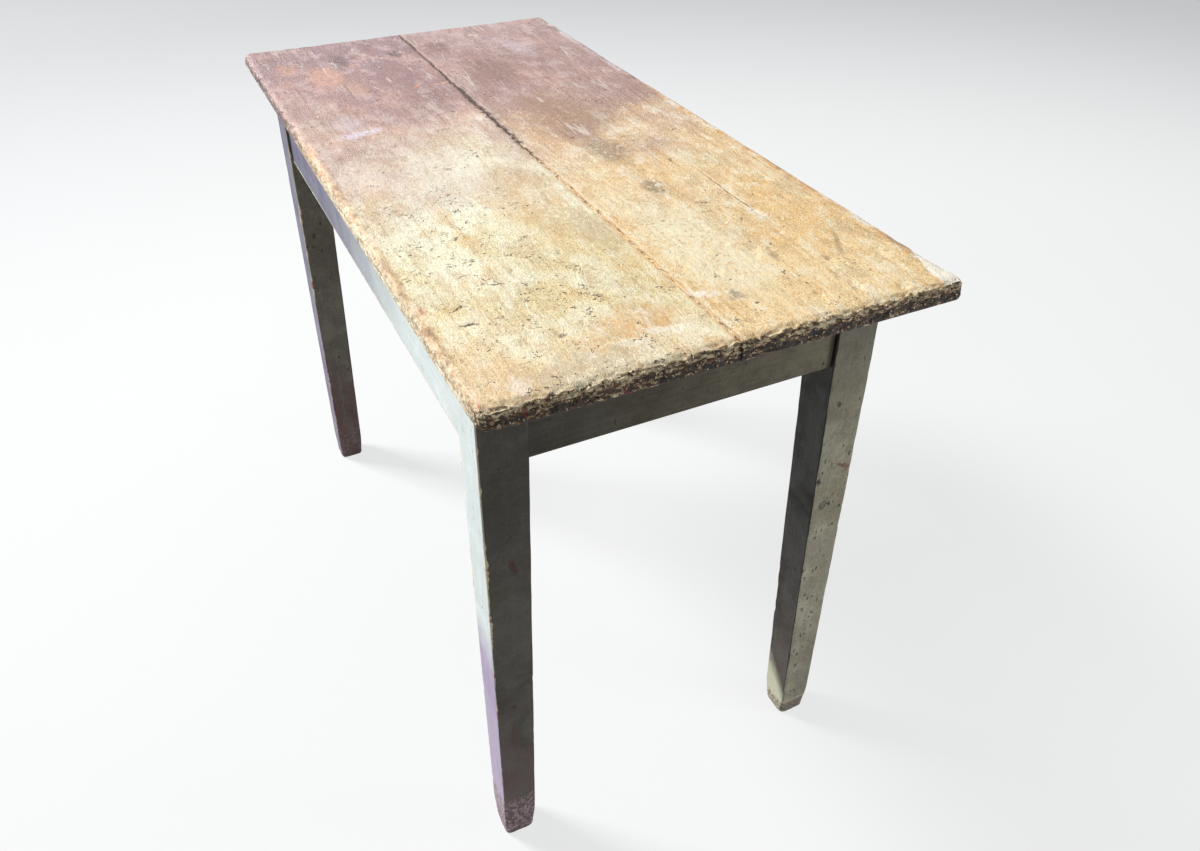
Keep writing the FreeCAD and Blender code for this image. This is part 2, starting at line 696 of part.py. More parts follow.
def nails(label, places, length, direction):
    """A group of like nails, each with its head at its place and its shank pointing up or down."""
    head, shank, thick = (value(size) for size in ("nail_head", "nail_shank", "nail_head_thick"))
    solids = []
    for place in places:
        start = V(*(value(text) for text in place))
        parts = []
        for side, reach in ((head, thick), (shank, value(length))):
            low = min(0, direction * reach)
            parts.append(Part.makeBox(side, side, reach, start + V(-side / 2, -side / 2, low)))
        solids.append(parts[0].fuse(parts[1]).removeSplitter().Solids[0])
    group = doc.addObject("Part::Feature", label)
    group.Label = label
    group.Shape = Part.makeCompound(solids)
    sub_parts.append(group)


def build():
    """Makes every piece of the table."""
    top_board("top_board_front", FRONT)
    top_board("top_board_back", BACK)
    top_places = [(x, y, "table_height") for x, y in top_nail_places()]
    nails("top_nails", top_places, "top_nail_length", DOWN)
    for side_name, side_y in (("front", FRONT), ("back", BACK)):
        for end_name, side_x in (("left", LEFT), ("right", RIGHT)):
            leg(f"leg_{side_name}_{end_name}", side_x, side_y)
    aprons()
    top_rail()
    bottom_rail()
    centre_stile()
    drawer_carriers()
    drawer_stops()
    drawer("left_drawer", LEFT)
    drawer("right_drawer", RIGHT)


def write_parts():
    """Checks that every object came out whole, then writes one file for each sub-part."""
    doc.recompute()
    for thing in doc.Objects:
        if {"Invalid", "Error"} & set(thing.State):
            raise RuntimeError(f"{thing.Label} is {thing.State}")
    for part in sub_parts:
        if part.Shape.isNull() or not part.Shape.isValid() or not part.Shape.Solids:
            raise RuntimeError(f"{part.Label} has no valid solid")
    os.makedirs("parts", exist_ok=True)
    for part in sub_parts:
        part.Shape.exportStep(f"parts/{part.Label}.step")
        print(part.Label, len(part.Shape.Solids), round(part.Shape.Volume))


build()
write_parts()
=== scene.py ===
"""Dresses the kitchen table with drawers.

Two worn top boards lie on a painted frame with four tapering legs. Two drawers
run in the long side that faces -Y. All sizes are in metres, in the frame of the
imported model: X runs along the table, Z is up, and the floor is at zero.
"""

import logging
import math
from dataclasses import dataclass
from enum import Enum
from functools import reduce
from typing import ClassVar, Iterable, Mapping, Sequence, Union

import bmesh
import bpy
import numpy as np
from mathutils import Matrix, Vector


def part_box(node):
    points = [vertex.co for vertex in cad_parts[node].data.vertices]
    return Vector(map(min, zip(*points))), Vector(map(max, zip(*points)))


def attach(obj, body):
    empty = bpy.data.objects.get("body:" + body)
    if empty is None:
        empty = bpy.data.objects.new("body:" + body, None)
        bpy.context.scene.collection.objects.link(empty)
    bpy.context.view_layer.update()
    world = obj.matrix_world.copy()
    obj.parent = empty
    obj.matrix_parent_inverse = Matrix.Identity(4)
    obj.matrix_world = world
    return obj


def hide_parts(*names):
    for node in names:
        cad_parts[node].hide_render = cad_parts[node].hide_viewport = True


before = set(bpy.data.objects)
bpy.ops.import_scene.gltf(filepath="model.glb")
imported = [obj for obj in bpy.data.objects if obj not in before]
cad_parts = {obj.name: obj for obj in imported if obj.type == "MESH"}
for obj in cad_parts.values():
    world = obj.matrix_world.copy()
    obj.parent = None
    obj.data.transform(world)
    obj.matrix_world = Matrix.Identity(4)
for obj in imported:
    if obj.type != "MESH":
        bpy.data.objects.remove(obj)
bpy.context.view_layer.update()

LOG = logging.getLogger("kitchen_table")
HALF_LENGTH, HALF_WIDTH, TOP, SEAM = 0.535, 0.261, 0.760, 0.005
NO_LIMIT = 1e3
TINY = 1e-9
WELD = 1e-5
FLAT_ANGLE, SHARP_ANGLE = math.radians(1.0), math.radians(40.0)

Colour = tuple[float, float, float, float]
Tone = tuple[int, int, int]
Place = tuple[float, float, float]
Socket = bpy.types.NodeSocket
Outputs = bpy.types.NodeOutputs
Tree = bpy.types.NodeTree
Material = bpy.types.Material
Mesh = bpy.types.Mesh
Piece = bpy.types.Object
Array = np.ndarray
Feed = Union[Socket, float, Sequence[float]]

ORIGIN: Place = (0.0, 0.0, 0.0)
EVEN: Place = (1.0, 1.0, 1.0)


class Body(Enum):
    """The parts of the table that move on their own."""

    TABLE = "table"
    LEFT_DRAWER = "left_drawer"
    RIGHT_DRAWER = "right_drawer"


class Slot(Enum):
    """The finishes that the record names."""

    TOP = "top"
    PAINT = "paint"
    INNER = "inner"
    KNOB = "knob"
    NAIL = "nail"


class Along(Enum):
    """The way that a board's grain runs."""

    LENGTH = (0.0, 0.0, 0.0)
    DEPTH = (0.0, 0.0, math.pi / 2)


class Side(Enum):
    """The long side that a top board lies on, and the way out from the seam."""

    FRONT = -1.0
    BACK = 1.0


def shade(red: int, green: int, blue: int) -> Colour:
    """Turns a colour as a screen shows it, 0 to 255, into a shader's linear colour."""
    parts = (value / 255.0 for value in (red, green, blue))
    return (*(part / 12.92 if part <= 0.04045 else ((part + 0.055) / 1.055) ** 2.4 for part in parts), 1.0)


class Graph:
    """A node tree with short calls for the nodes that are used here."""

    def __init__(self, tree: Tree) -> None:
        """Takes the tree that the calls add to."""
        self.tree = tree

    def add(
        self, kind: str, inputs: Mapping[Union[str, int], object] | None = None, **settings: object
    ) -> bpy.types.Node:
        """Adds a node.

        Args:
            kind: The node's type name.
            inputs: Sockets or values for its inputs, by name or number.
            settings: Values for the node's own properties.

        Returns:
            The new node.
        """
        node = self.tree.nodes.new(kind)
        for name, value in settings.items():
            setattr(node, name, value)
        for key, value in (inputs or {}).items():
            self.feed(node.inputs[key], value)
        return node

    def feed(self, socket: Socket, value: object) -> None:
        """Links a socket, or sets its value.

        Args:
            socket: The input socket.
            value: Another socket, or a plain value.
        """
        if isinstance(value, Socket):
            self.tree.links.new(value, socket)
        else:
            socket.default_value = value

    def math(self, operation: str, first: Feed, second: Feed = 0.0, clamp: bool = False) -> Socket:
        """Adds a sum, whose result stays between 0 and 1 if it is clamped."""
        return self.add("ShaderNodeMath", {0: first, 1: second}, operation=operation, use_clamp=clamp).outputs[0]

    def times(self, *values: Feed) -> Socket:
        """Multiplies values."""
        return reduce(lambda first, second: self.math("MULTIPLY", first, second), values)

    def weigh(self, *parts: tuple[Feed, float]) -> Socket:
        """Adds values together, each times its weight.

        Args:
            parts: Values with their weights; a plain 1.0 stands for a constant.

        Returns:
            The total's socket.
        """
        running: Feed = sum(weight for value, weight in parts if not isinstance(value, Socket))
        for value, weight in parts:
            if isinstance(value, Socket):
                node = self.add("ShaderNodeMath", {0: value, 1: weight, 2: running}, operation="MULTIPLY_ADD")
                running = node.outputs[0]
        return running

    def ridge(self, noise: Feed) -> Socket:
        """Gives how far a noise is from its middle."""
        return self.math("ABSOLUTE", self.math("SUBTRACT", noise, 0.5))

    def vector(self, operation: str, first: Feed, second: Feed = ORIGIN) -> Socket:
        """Adds a vector sum; a length gives a value, all others a vector."""
        node = self.add("ShaderNodeVectorMath", {0: first, 1: second}, operation=operation)
        return node.outputs["Value" if operation == "LENGTH" else "Vector"]

    def mix(self, share: Feed, first: Feed, second: Feed, blend: str = "MIX") -> Socket:
        """Mixes a share of the second colour into the first."""
        inputs = {0: share, 6: first, 7: second}
        return self.add("ShaderNodeMix", inputs, data_type="RGBA", blend_type=blend, clamp_factor=True).outputs[2]

    def over(self, colour: Feed, mask: Feed, tone: Feed, strength: Feed = 1.0, blend: str = "MIX") -> Socket:
        """Lays a tone over a colour where a mask is."""
        return self.mix(mask if strength == 1.0 else self.times(mask, strength), colour, tone, blend)

    def noise(self, place: Feed, scale: Feed, detail: float = 4.0, rough: float = 0.55, twist: float = 0.0) -> Socket:
        """Adds cloudy noise, about 0.3 to 0.7, with so many blotches for each metre."""
        inputs = {"Vector": place, "Scale": scale, "Detail": detail, "Roughness": rough, "Distortion": twist}
        return self.add("ShaderNodeTexNoise", inputs).outputs["Fac"]

    def stir(self, place: Feed, scale: float, detail: float = 2.0, rough: float = 0.5) -> Socket:
        """Adds noise that points every way, to shift a position by."""
        inputs = {"Vector": place, "Scale": scale, "Detail": detail, "Roughness": rough}
        return self.vector("SUBTRACT", self.add("ShaderNodeTexNoise", inputs).outputs["Color"], (0.5, 0.5, 0.5))

    def shifted(self, place: Feed, stir: Feed, reach: Place) -> Socket:
        """Shifts a position, so that what is read there has a ragged outline."""
        return self.vector("ADD", place, self.vector("MULTIPLY", stir, reach))

    def stretch(self, place: Feed, scale: Place = EVEN, turn: Place = ORIGIN, shift: Place = ORIGIN) -> Socket:
        """Stretches, turns and shifts a position."""
        inputs = {"Vector": place, "Location": shift, "Rotation": turn, "Scale": scale}
        return self.add("ShaderNodeMapping", inputs, vector_type="POINT").outputs[0]

    def step(self, value: Feed, low: Feed, high: Feed) -> Socket:
        """Adds a soft step, 0 at low and 1 at high."""
        inputs = {"Value": value, "From Min": low, "From Max": high}
        return self.add("ShaderNodeMapRange", inputs, interpolation_type="SMOOTHSTEP").outputs["Result"]

    def ramp(self, value: Feed, *stops: tuple[float, int, int, int]) -> Socket:
        """Adds a colour ramp.

        Args:
            value: The value from 0 to 1.
            stops: Places on the ramp, each with its red, green and blue.

        Returns:
            The colour's socket.
        """
        node = self.add("ShaderNodeValToRGB", {0: value})
        marks = node.color_ramp.elements
        while len(marks) < len(stops):
            marks.new(0.5)
        for mark, (place, *tone) in zip(marks, stops):
            mark.position, mark.color = place, shade(*tone)
        return node.outputs[0]

    def split(self, place: Feed) -> tuple[Socket, ...]:
        """Splits a position into its X, Y and Z sockets."""
        return tuple(self.add("ShaderNodeSeparateXYZ", {0: place}).outputs)

    def use(self, effect: type["SharedEffect"], **inputs: Feed) -> Outputs:
        """Adds a shared effect and gives its outputs."""
        return self.add("ShaderNodeGroup", inputs, node_tree=effect.group()).outputs


class SharedEffect(Graph):
    """A surface effect that several finishes share: a node group that is made once."""

    made: ClassVar[dict[type, Tree]] = {}
    label: ClassVar[str] = ""
    takes: ClassVar[dict[str, Feed]] = {}

    def __init__(self, tree: Tree) -> None:
        """Starts the effect inside its group.

        Args:
            tree: The group, with its inputs made.
        """
        super().__init__(tree)
        self.given: Outputs = self.add("NodeGroupInput").outputs
        self.gives: dict[str, Socket] = {}

    @classmethod
    def group(cls) -> Tree:
        """Gives the effect's node group.

        Returns:
            The group, made on the first call.
        """
        if cls not in cls.made:
            tree = cls.made[cls] = bpy.data.node_groups.new(cls.label, "ShaderNodeTree")
            tree.interface.new_socket("Place", in_out="INPUT", socket_type="NodeSocketVector")
            for name, value in cls.takes.items():
                kind = "NodeSocketFloat" if isinstance(value, float) else "NodeSocketVector"
                tree.interface.new_socket(name, in_out="INPUT", socket_type=kind).default_value = value
            effect = cls(tree)
            effect.fill()
            for name in effect.gives:
                tree.interface.new_socket(name, in_out="OUTPUT", socket_type="NodeSocketFloat")
            effect.add("NodeGroupOutput", effect.gives)
        return cls.made[cls]

    def fill(self) -> None:
        """Adds the effect's nodes, from what is given to what it gives."""
        raise NotImplementedError


class WornPatch(SharedEffect):
    """An oval patch with a soft rim."""

    label = "worn_patch"
    takes = {"Middle": (0.0, 0.0, 0.0), "Reach": (0.01, 0.01, 0.01), "Turn": 0.0, "Softness": 0.3}

    def fill(self) -> None:
        """Measures the way from the middle in reaches."""
        away, soft = self.vector("SUBTRACT", self.given["Place"], self.given["Middle"]), self.given["Softness"]
        inputs = {"Vector": away, "Angle": self.given["Turn"]}
        turned = self.add("ShaderNodeVectorRotate", inputs, rotation_type="Z_AXIS").outputs[0]
        length = self.vector("LENGTH", self.vector("DIVIDE", turned, self.given["Reach"]))
        self.gives["Mask"] = self.step(length, self.math("ADD", 1.0, soft), self.math("SUBTRACT", 1.0, soft))


class BoardGrain(SharedEffect):
    """The grain of a sawn softwood board that runs along X."""

    label = "board_grain"
    takes = {"Rings": 14.0}

    def fill(self) -> None:
        """Lays rings, long fibres and short pores."""
        place = self.given["Place"]
        bands = self.add("ShaderNodeTexWave", {
            "Vector": self.stretch(place, (0.22, 1.0, 0.6)), "Scale": self.given["Rings"], "Distortion": 7.0,
            "Detail": 3.0, "Detail Scale": 1.1, "Detail Roughness": 0.6,
        }, wave_type="BANDS", bands_direction="Y").outputs["Fac"]
        fibre = self.noise(self.stretch(place, (7.0, 210.0, 210.0)), 1.0, 4.0, 0.6)
        pores = self.noise(self.stretch(place, (38.0, 900.0, 900.0)), 1.0, 2.0, 0.5)
        self.gives["Grain"] = self.weigh((bands, 0.26), (fibre, 0.74))
        self.gives["Fibre"] = fibre
        self.gives["Pores"] = self.step(pores, 0.6, 0.72)


class KnifeScratches(SharedEffect):
    """Thin scratches that run three ways."""

    label = "knife_scratches"
    takes = {"Fineness": 60.0}

    def fill(self) -> None:
        """Draws a broken line for each way."""
        place, lines = self.given["Place"], 0.0
        for number, turn in enumerate((0.35, 1.25, 2.3)):
            slant = self.stretch(place, (0.07, 1.0, 1.0), (0.0, 0.0, turn), (number * 3.7, number * 1.9, 0.0))
            line = self.step(self.ridge(self.noise(slant, self.given["Fineness"], 0.0, 0.5)), 0.011, 0.003)
            gaps = self.noise(self.stretch(place, shift=(number * 2.3, 0.0, 0.0)), 17.0, 2.0)
            lines = self.math("MAXIMUM", lines, self.times(line, self.step(gaps, 0.5, 0.62)))
        self.gives["Lines"] = lines


class SmallNicks(SharedEffect):
    """Small scattered nicks."""

    label = "small_nicks"
    takes = {"Scale": 80.0, "Share": 0.2, "Width": 0.2}

    def fill(self) -> None:
        """Picks a share of ragged cells and fills their middles."""
        place = self.shifted(self.given["Place"], self.stir(self.given["Place"], 320.0), (0.006, 0.006, 0.006))
        cells = self.add("ShaderNodeTexVoronoi", {"Vector": place, "Scale": self.given["Scale"]}, feature="F1").outputs
        pick = self.add("ShaderNodeSeparateColor", {0: cells["Color"]}).outputs
        radius = self.times(self.given["Width"], self.math("ADD", 0.4, pick[1]))
        spot = self.step(cells["Distance"], radius, self.times(radius, 0.45))
        self.gives["Mask"] = self.times(spot, self.math("LESS_THAN", pick[0], self.given["Share"]))


class RubbedArris(SharedEffect):
    """The ragged bare line where paint has rubbed off an arris."""

    label = "rubbed_arris"
    takes = {"Distance": 0.01, "Reach": 0.004}

    def fill(self) -> None:
        """Widens and narrows the line with noise."""
        broad = self.step(self.noise(self.given["Place"], 13.0, 3.0), 0.4, 0.66)
        ragged = self.noise(self.given["Place"], 120.0, 5.0, 0.65)
        width = self.times(self.given["Reach"], self.times(self.math("ADD", broad, 0.12), self.times(ragged, 2.0)))
        self.gives["Bare"] = self.step(self.math("SUBTRACT", width, self.given["Distance"]), -0.0002, 0.0004)


class Grime(SharedEffect):
    """Soft dirty clouds."""

    label = "grime"
    takes = {"Scale": 8.0}

    def fill(self) -> None:
        """Keeps the denser part of a noise."""
        cloud = self.noise(self.given["Place"], self.given["Scale"], 6.0, 0.62, 0.4)
        self.gives["Dirt"] = self.step(cloud, 0.42, 0.7)


class BoxArris(SharedEffect):
    """How far a point on a box is from the box's nearest arris."""

    label = "box_arris"
    takes = {"Low": (0.0, 0.0, 0.0), "High": (1.0, 1.0, 1.0)}

    def fill(self) -> None:
        """Takes the middle one of the distances to the faces."""
        above = self.vector("SUBTRACT", self.given["Place"], self.given["Low"])
        below = self.vector("SUBTRACT", self.given["High"], self.given["Place"])
        x, y, z = self.split(self.vector("ABSOLUTE", self.vector("MINIMUM", above, below)))
        least = self.math("MINIMUM", self.math("MINIMUM", x, y), z)
        most = self.math("MAXIMUM", self.math("MAXIMUM", x, y), z)
        total = self.math("ADD", self.math("ADD", x, y), z)
        self.gives["Distance"] = self.math("SUBTRACT", self.math("SUBTRACT", total, least), most)


@dataclass(frozen=True)
class Mark:
    """A stain, bare place, smear or knock: its middle, reach, colour, strength, turn and softness."""

    x: float
    y: float
    long: float
    wide: float
    tone: Tone
    strength: float = 0.6
    turn: float = 0.0
    soft: float = 0.5


class Coat(Graph):
    """A material in the making: the place on the object, the colour so far and the relief."""

    def __init__(self, name: str) -> None:
        """Starts the material.

        Args:
            name: The material's name.
        """
        self.material = bpy.data.materials.new(name)
        self.material.use_nodes = True
        super().__init__(self.material.node_tree)
        self.shader = self.tree.nodes["Principled BSDF"].inputs
        self.place = self.add("ShaderNodeTexCoord").outputs["Object"]
        self.x, self.y, self.z = self.split(self.place)
        self.colour: Feed = shade(255, 255, 255)
        self.relief: list[tuple[Feed, float]] = []

    def cloudy(self, scale: float, detail: float = 4.0, rough: float = 0.55, stretch: Place | None = None) -> Socket:
        """Adds noise at the place on the object, stretched where that is asked for."""
        return self.noise(self.stretch(self.place, stretch) if stretch else self.place, scale, detail, rough)

    def lay(self, mask: Feed, tone: Feed, strength: Feed = 1.0, blend: str = "MIX") -> None:
        """Lays a tone on the colour so far where a mask is."""
        self.colour = self.over(self.colour, mask, tone, strength, blend)

    def darken(self, mask: Feed, tone: Place, strength: Feed = 1.0) -> None:
        """Multiplies the colour so far by a tone where a mask is."""
        self.lay(mask, (*tone, 1.0), strength, "MULTIPLY")

    def spot(self, mark: Mark, place: Feed) -> Socket:
        """Gives where a mark is."""
        middle, reach = (mark.x, mark.y, 0.0), (mark.long, mark.wide, NO_LIMIT)
        return self.use(WornPatch, Place=place, Middle=middle, Reach=reach, Turn=mark.turn, Softness=mark.soft)["Mask"]

    def finish(self, rough: Feed, depth: float) -> Material:
        """Feeds the shader its colour, roughness and bump.

        Args:
            rough: The roughness.
            depth: How high a relief of 1 stands, in metres.

        Returns:
            The finished material.
        """
        bump = self.add("ShaderNodeBump", {"Strength": 1.0, "Distance": depth, "Height": self.weigh(*self.relief)})
        self.feed(self.shader["Base Color"], self.colour)
        self.feed(self.shader["Roughness"], rough)
        self.feed(self.shader["Normal"], bump.outputs[0])
        return self.material


TOP_MARKS = (
    Mark(0.4141, 0.2146, 0.026, 0.015, (196, 148, 126), 0.6, 0.0, 0.4),
    Mark(0.3559, 0.1679, 0.050, 0.026, (206, 160, 138), 0.75, 0.0, 0.35),
    Mark(0.2878, 0.1393, 0.030, 0.014, (200, 156, 134), 0.55),
    Mark(0.4271, 0.0408, 0.016, 0.008, (78, 64, 60), 1.0),
    Mark(0.4247, 0.1327, 0.034, 0.012, (104, 84, 84), 0.8),
    Mark(0.4570, 0.0806, 0.024, 0.010, (132, 104, 100), 0.55),
    Mark(0.3177, 0.0694, 0.060, 0.030, (138, 108, 106), 0.6),
    Mark(0.4347, -0.0332, 0.030, 0.016, (118, 92, 90), 0.75),
    Mark(0.3769, -0.1506, 0.050, 0.020, (214, 200, 205), 0.40),
    Mark(0.2872, -0.0678, 0.080, 0.034, (134, 106, 98), 0.75),
    Mark(0.2640, 0.0568, 0.012, 0.0020, (214, 150, 118), 0.8, 0.8, 0.4),
    Mark(0.2636, 0.0151, 0.014, 0.0022, (226, 176, 150), 0.8, 1.3, 0.4),
    Mark(0.2207, 0.0780, 0.004, 0.002, (166, 92, 80), 0.8, 0.4, 0.4),
    Mark(0.1111, 0.1797, 0.008, 0.029, (224, 216, 232), 0.75, -0.25, 0.6),
    Mark(0.1523, 0.1894, 0.030, 0.020, (212, 200, 206), 0.45),
    Mark(0.0638, -0.0844, 0.085, 0.045, (160, 126, 100), 0.75),
    Mark(-0.0807, -0.0879, 0.040, 0.022, (144, 120, 94), 0.72),
    Mark(-0.2024, -0.0876, 0.020, 0.013, (136, 120, 94), 0.82),
    Mark(-0.0739, 0.1231, 0.100, 0.050, (238, 232, 216), 0.50),
    Mark(-0.0323, 0.2147, 0.060, 0.030, (238, 226, 208), 0.45),
    Mark(-0.1595, 0.0636, 0.085, 0.042, (204, 164, 114), 0.50),
    Mark(-0.2416, 0.0435, 0.060, 0.030, (208, 178, 132), 0.42),
    Mark(-0.2762, 0.0241, 0.060, 0.018, (188, 164, 128), 0.45),
    Mark(-0.3603, -0.0556, 0.100, 0.046, (246, 236, 202), 0.80),
    Mark(-0.2225, -0.0255, 0.050, 0.020, (244, 232, 200), 0.50),
    Mark(-0.2632, -0.1587, 0.064, 0.0011, (92, 72, 54), 0.95, 0.0, 0.7),
    Mark(-0.3143, -0.1552, 0.018, 0.006, (248, 240, 220), 0.85),
    Mark(-0.4059, -0.1178, 0.010, 0.005, (150, 120, 92), 0.60, 0.0, 0.8),
    Mark(-0.4346, -0.1625, 0.006, 0.003, (126, 102, 92), 0.65, 0.0, 0.8),
    Mark(-0.4106, -0.1951, 0.024, 0.003, (150, 118, 88), 0.60, 0.5, 0.8),
    Mark(-0.4408, -0.0040, 0.007, 0.018, (255, 252, 240), 0.78, 0.35, 0.4),
    Mark(-0.4577, -0.0381, 0.010, 0.008, (128, 116, 104), 0.70),
    Mark(-0.4624, 0.0645, 0.030, 0.034, (226, 180, 120), 0.70),
    Mark(-0.4756, 0.1036, 0.020, 0.040, (228, 176, 116), 0.50),
    Mark(-0.4845, 0.0560, 0.007, 0.022, (255, 250, 232), 0.72, 0.2, 0.45),
    Mark(-0.4900, 0.0960, 0.006, 0.014, (255, 250, 232), 0.66, 0.2, 0.45),
    Mark(-0.5042, 0.1525, 0.018, 0.070, (196, 176, 150), 0.55),
    Mark(-0.5034, 0.2334, 0.060, 0.026, (236, 186, 126), 0.38),
    Mark(-0.5084, 0.2129, 0.012, 0.010, (248, 232, 214), 0.70),
    Mark(-0.3542, 0.2516, 0.010, 0.006, (186, 104, 66), 0.80),
    Mark(0.0767, 0.2569, 0.012, 0.006, (226, 138, 84), 0.85),
    Mark(0.0178, 0.2570, 0.014, 0.006, (226, 142, 90), 0.80),
    Mark(-0.4518, 0.1465, 0.0028, 0.0042, (112, 72, 46), 0.80),
    Mark(-0.3797, 0.1520, 0.003, 0.003, (110, 70, 44), 0.85, 0.0, 0.3),
    Mark(-0.3995, 0.2166, 0.0013, 0.010, (92, 62, 40), 0.90, 0.25),
    Mark(-0.3673, 0.2204, 0.0012, 0.009, (92, 62, 40), 0.85, -0.2),
    Mark(-0.3385, 0.1665, 0.0012, 0.008, (98, 66, 42), 0.85, 0.4),
    Mark(-0.3089, 0.1909, 0.0012, 0.007, (98, 66, 42), 0.80, -0.3),
)
BARE_CORNER = Mark(-0.5100, -0.2540, 0.054, 0.016, (254, 248, 232), 0.90, 0.12, 0.45)
LEG_MARKS = (
    Mark(-0.2243, 0.4704, 0.0110, 0.0022, (122, 82, 74), 0.85, -0.5),
    Mark(-0.2300, 0.4640, 0.0070, 0.0016, (140, 100, 90), 0.75, 0.6),
    Mark(-0.2035, 0.4130, 0.0056, 0.0070, (62, 56, 52), 0.85, 0.0, 0.3),
    Mark(-0.2035, 0.4136, 0.0038, 0.0052, (134, 132, 120), 0.9, 0.0, 0.3),
    Mark(-0.1905, 0.4550, 0.0030, 0.0060, (40, 32, 27), 0.9),
    Mark(-0.2010, 0.5700, 0.0022, 0.0050, (52, 44, 38), 0.8),
    Mark(0.2070, 0.4868, 0.0034, 0.0110, (72, 34, 30), 0.85, 0.2),
    Mark(0.2100, 0.5300, 0.0020, 0.0050, (60, 36, 32), 0.7, -0.3),
    Mark(0.2150, 0.2600, 0.0030, 0.0040, (40, 32, 32), 0.8),
)


class TopFinish(Coat):
    """Layers of worn cream and mauve-brown paint over scrubbed boards."""

    def __init__(self) -> None:
        """Starts the material with the noises that its layers share, coarse to fine."""
        super().__init__("worn_top")
        self.cloud = self.cloudy(7.0, 5.0, 0.6)
        self.mottle = self.cloudy(27.0, 8.0, 0.66, (1.0, 1.5, 0.4))
        self.crumb = self.cloudy(165.0, 6.0, 0.74, (0.75, 1.2, 0.6))
        self.fleck = self.cloudy(620.0, 3.0, 0.72, (0.6, 1.1, 0.8))
        self.grain = self.use(BoardGrain, Place=self.place, Rings=9.0)
        self.far = self.step(self.weigh((self.x, 1.0), (self.cloud, 0.7)), 0.19, 0.59)
        self.jag = self.weigh((self.crumb, 0.020), (1.0, -0.010))
        small = self.cloudy(225.0, 6.0, 0.74, (1.0, 0.5, 1.5))
        self.chips = self.weigh((small, 0.78), (self.cloudy(70.0, 4.0, 0.6, (1.0, 0.7, 1.6)), 0.34), (1.0, -0.06))
        self.relief = [(self.mottle, 0.5), (self.crumb, 0.55), (self.fleck, 0.34), (self.grain["Fibre"], 0.12)]

    def make(self) -> Material:
        """Lays the layers in order.

        Returns:
            The material of the two top boards.
        """
        for layer in (
            self.ground, self.patches, self.layers, self.wrinkles, self.stains,
            self.cuts, self.joint, self.scuffs, self.near_rim, self.rim, self.underside,
        ):
            layer()
        return self.finish(self.weigh((1.0, 0.46), (self.mottle, 0.35)), 0.0022)

    def fading(self, near: Tone, far: Tone) -> Socket:
        """Gives a tone that turns into another towards the far end."""
        return self.mix(self.far, shade(*near), shade(*far))

    def ground(self) -> None:
        """Colours the two boards from the near end to the far end."""
        along = self.weigh((self.x, 0.5 / HALF_LENGTH), (self.cloud, 0.6), (1.0, 0.2))
        back = self.ramp(
            along, (0.02, 252, 238, 199), (0.14, 232, 213, 160), (0.28, 252, 250, 221), (0.42, 224, 211, 187),
            (0.54, 207, 181, 168), (0.70, 162, 132, 130), (0.98, 139, 114, 119),
        )
        front = self.ramp(
            along, (0.02, 253, 221, 164), (0.16, 244, 203, 136), (0.32, 239, 208, 158), (0.45, 226, 195, 158),
            (0.58, 174, 143, 127), (0.80, 164, 136, 132), (0.98, 174, 150, 149),
        )
        self.colour = self.mix(self.step(self.y, SEAM + 0.003, SEAM - 0.003), back, front)

    def patches(self) -> None:
        """Adds golden, grey and brown patches as wide as a hand or a finger."""
        tint = self.noise(self.stretch(self.place, (0.8, 1.2, 1.0), shift=(5.2, 1.1, 0.0)), 12.0, 8.0, 0.68)
        tint = self.weigh((tint, 1.0), (self.crumb, 0.28))
        self.lay(self.step(tint, 0.675, 0.720), self.fading((230, 186, 116), (206, 164, 150)), 0.42)
        self.lay(self.step(tint, 0.605, 0.555), self.fading((200, 182, 144), (158, 128, 124)), 0.40)
        smear = self.noise(self.stretch(self.place, (1.0, 1.25, 1.0), (0.0, 0.0, 0.4)), 9.5, 8.0, 0.70)
        smear = self.weigh((smear, 1.0), (self.crumb, 0.30))
        self.darken(self.step(smear, 0.690, 0.745), (0.52, 0.42, 0.36), self.weigh((1.0, 0.14), (self.far, 0.34)))

    def layers(self) -> None:
        """Wears the paint through to older layers, with ragged rims."""
        worn = self.weigh((self.mottle, 0.66), (self.crumb, 0.13), (self.fleck, 0.21))
        newer = self.fading((254, 250, 226), (204, 182, 179))
        self.lay(self.step(worn, 0.492, 0.440), self.fading((212, 172, 112), (160, 126, 118)), 0.36)
        self.lay(self.step(worn, 0.506, 0.562), newer, 0.45)
        fine = self.weigh((self.crumb, 0.18), (self.fleck, 0.82))
        self.darken(self.step(fine, 0.452, 0.415), (0.58, 0.46, 0.33), self.weigh((1.0, 0.56), (self.far, 0.14)))
        self.lay(self.step(fine, 0.535, 0.580), newer, self.weigh((1.0, 0.68), (self.far, 0.10)))
        self.darken(self.step(self.grain["Fibre"], 0.47, 0.36), (0.66, 0.50, 0.36), 0.34)

    def wrinkles(self) -> None:
        """Wrinkles the older paint."""
        bent = self.noise(self.stretch(self.place, (0.8, 1.25, 0.6)), 120.0, 5.0, 0.70, 0.8)
        wrinkle = self.step(self.ridge(bent), 0.034, 0.004)
        self.darken(self.times(wrinkle, self.step(self.mottle, 0.54, 0.40)), (0.70, 0.57, 0.43), 0.30)
        self.relief.append((wrinkle, -0.07))

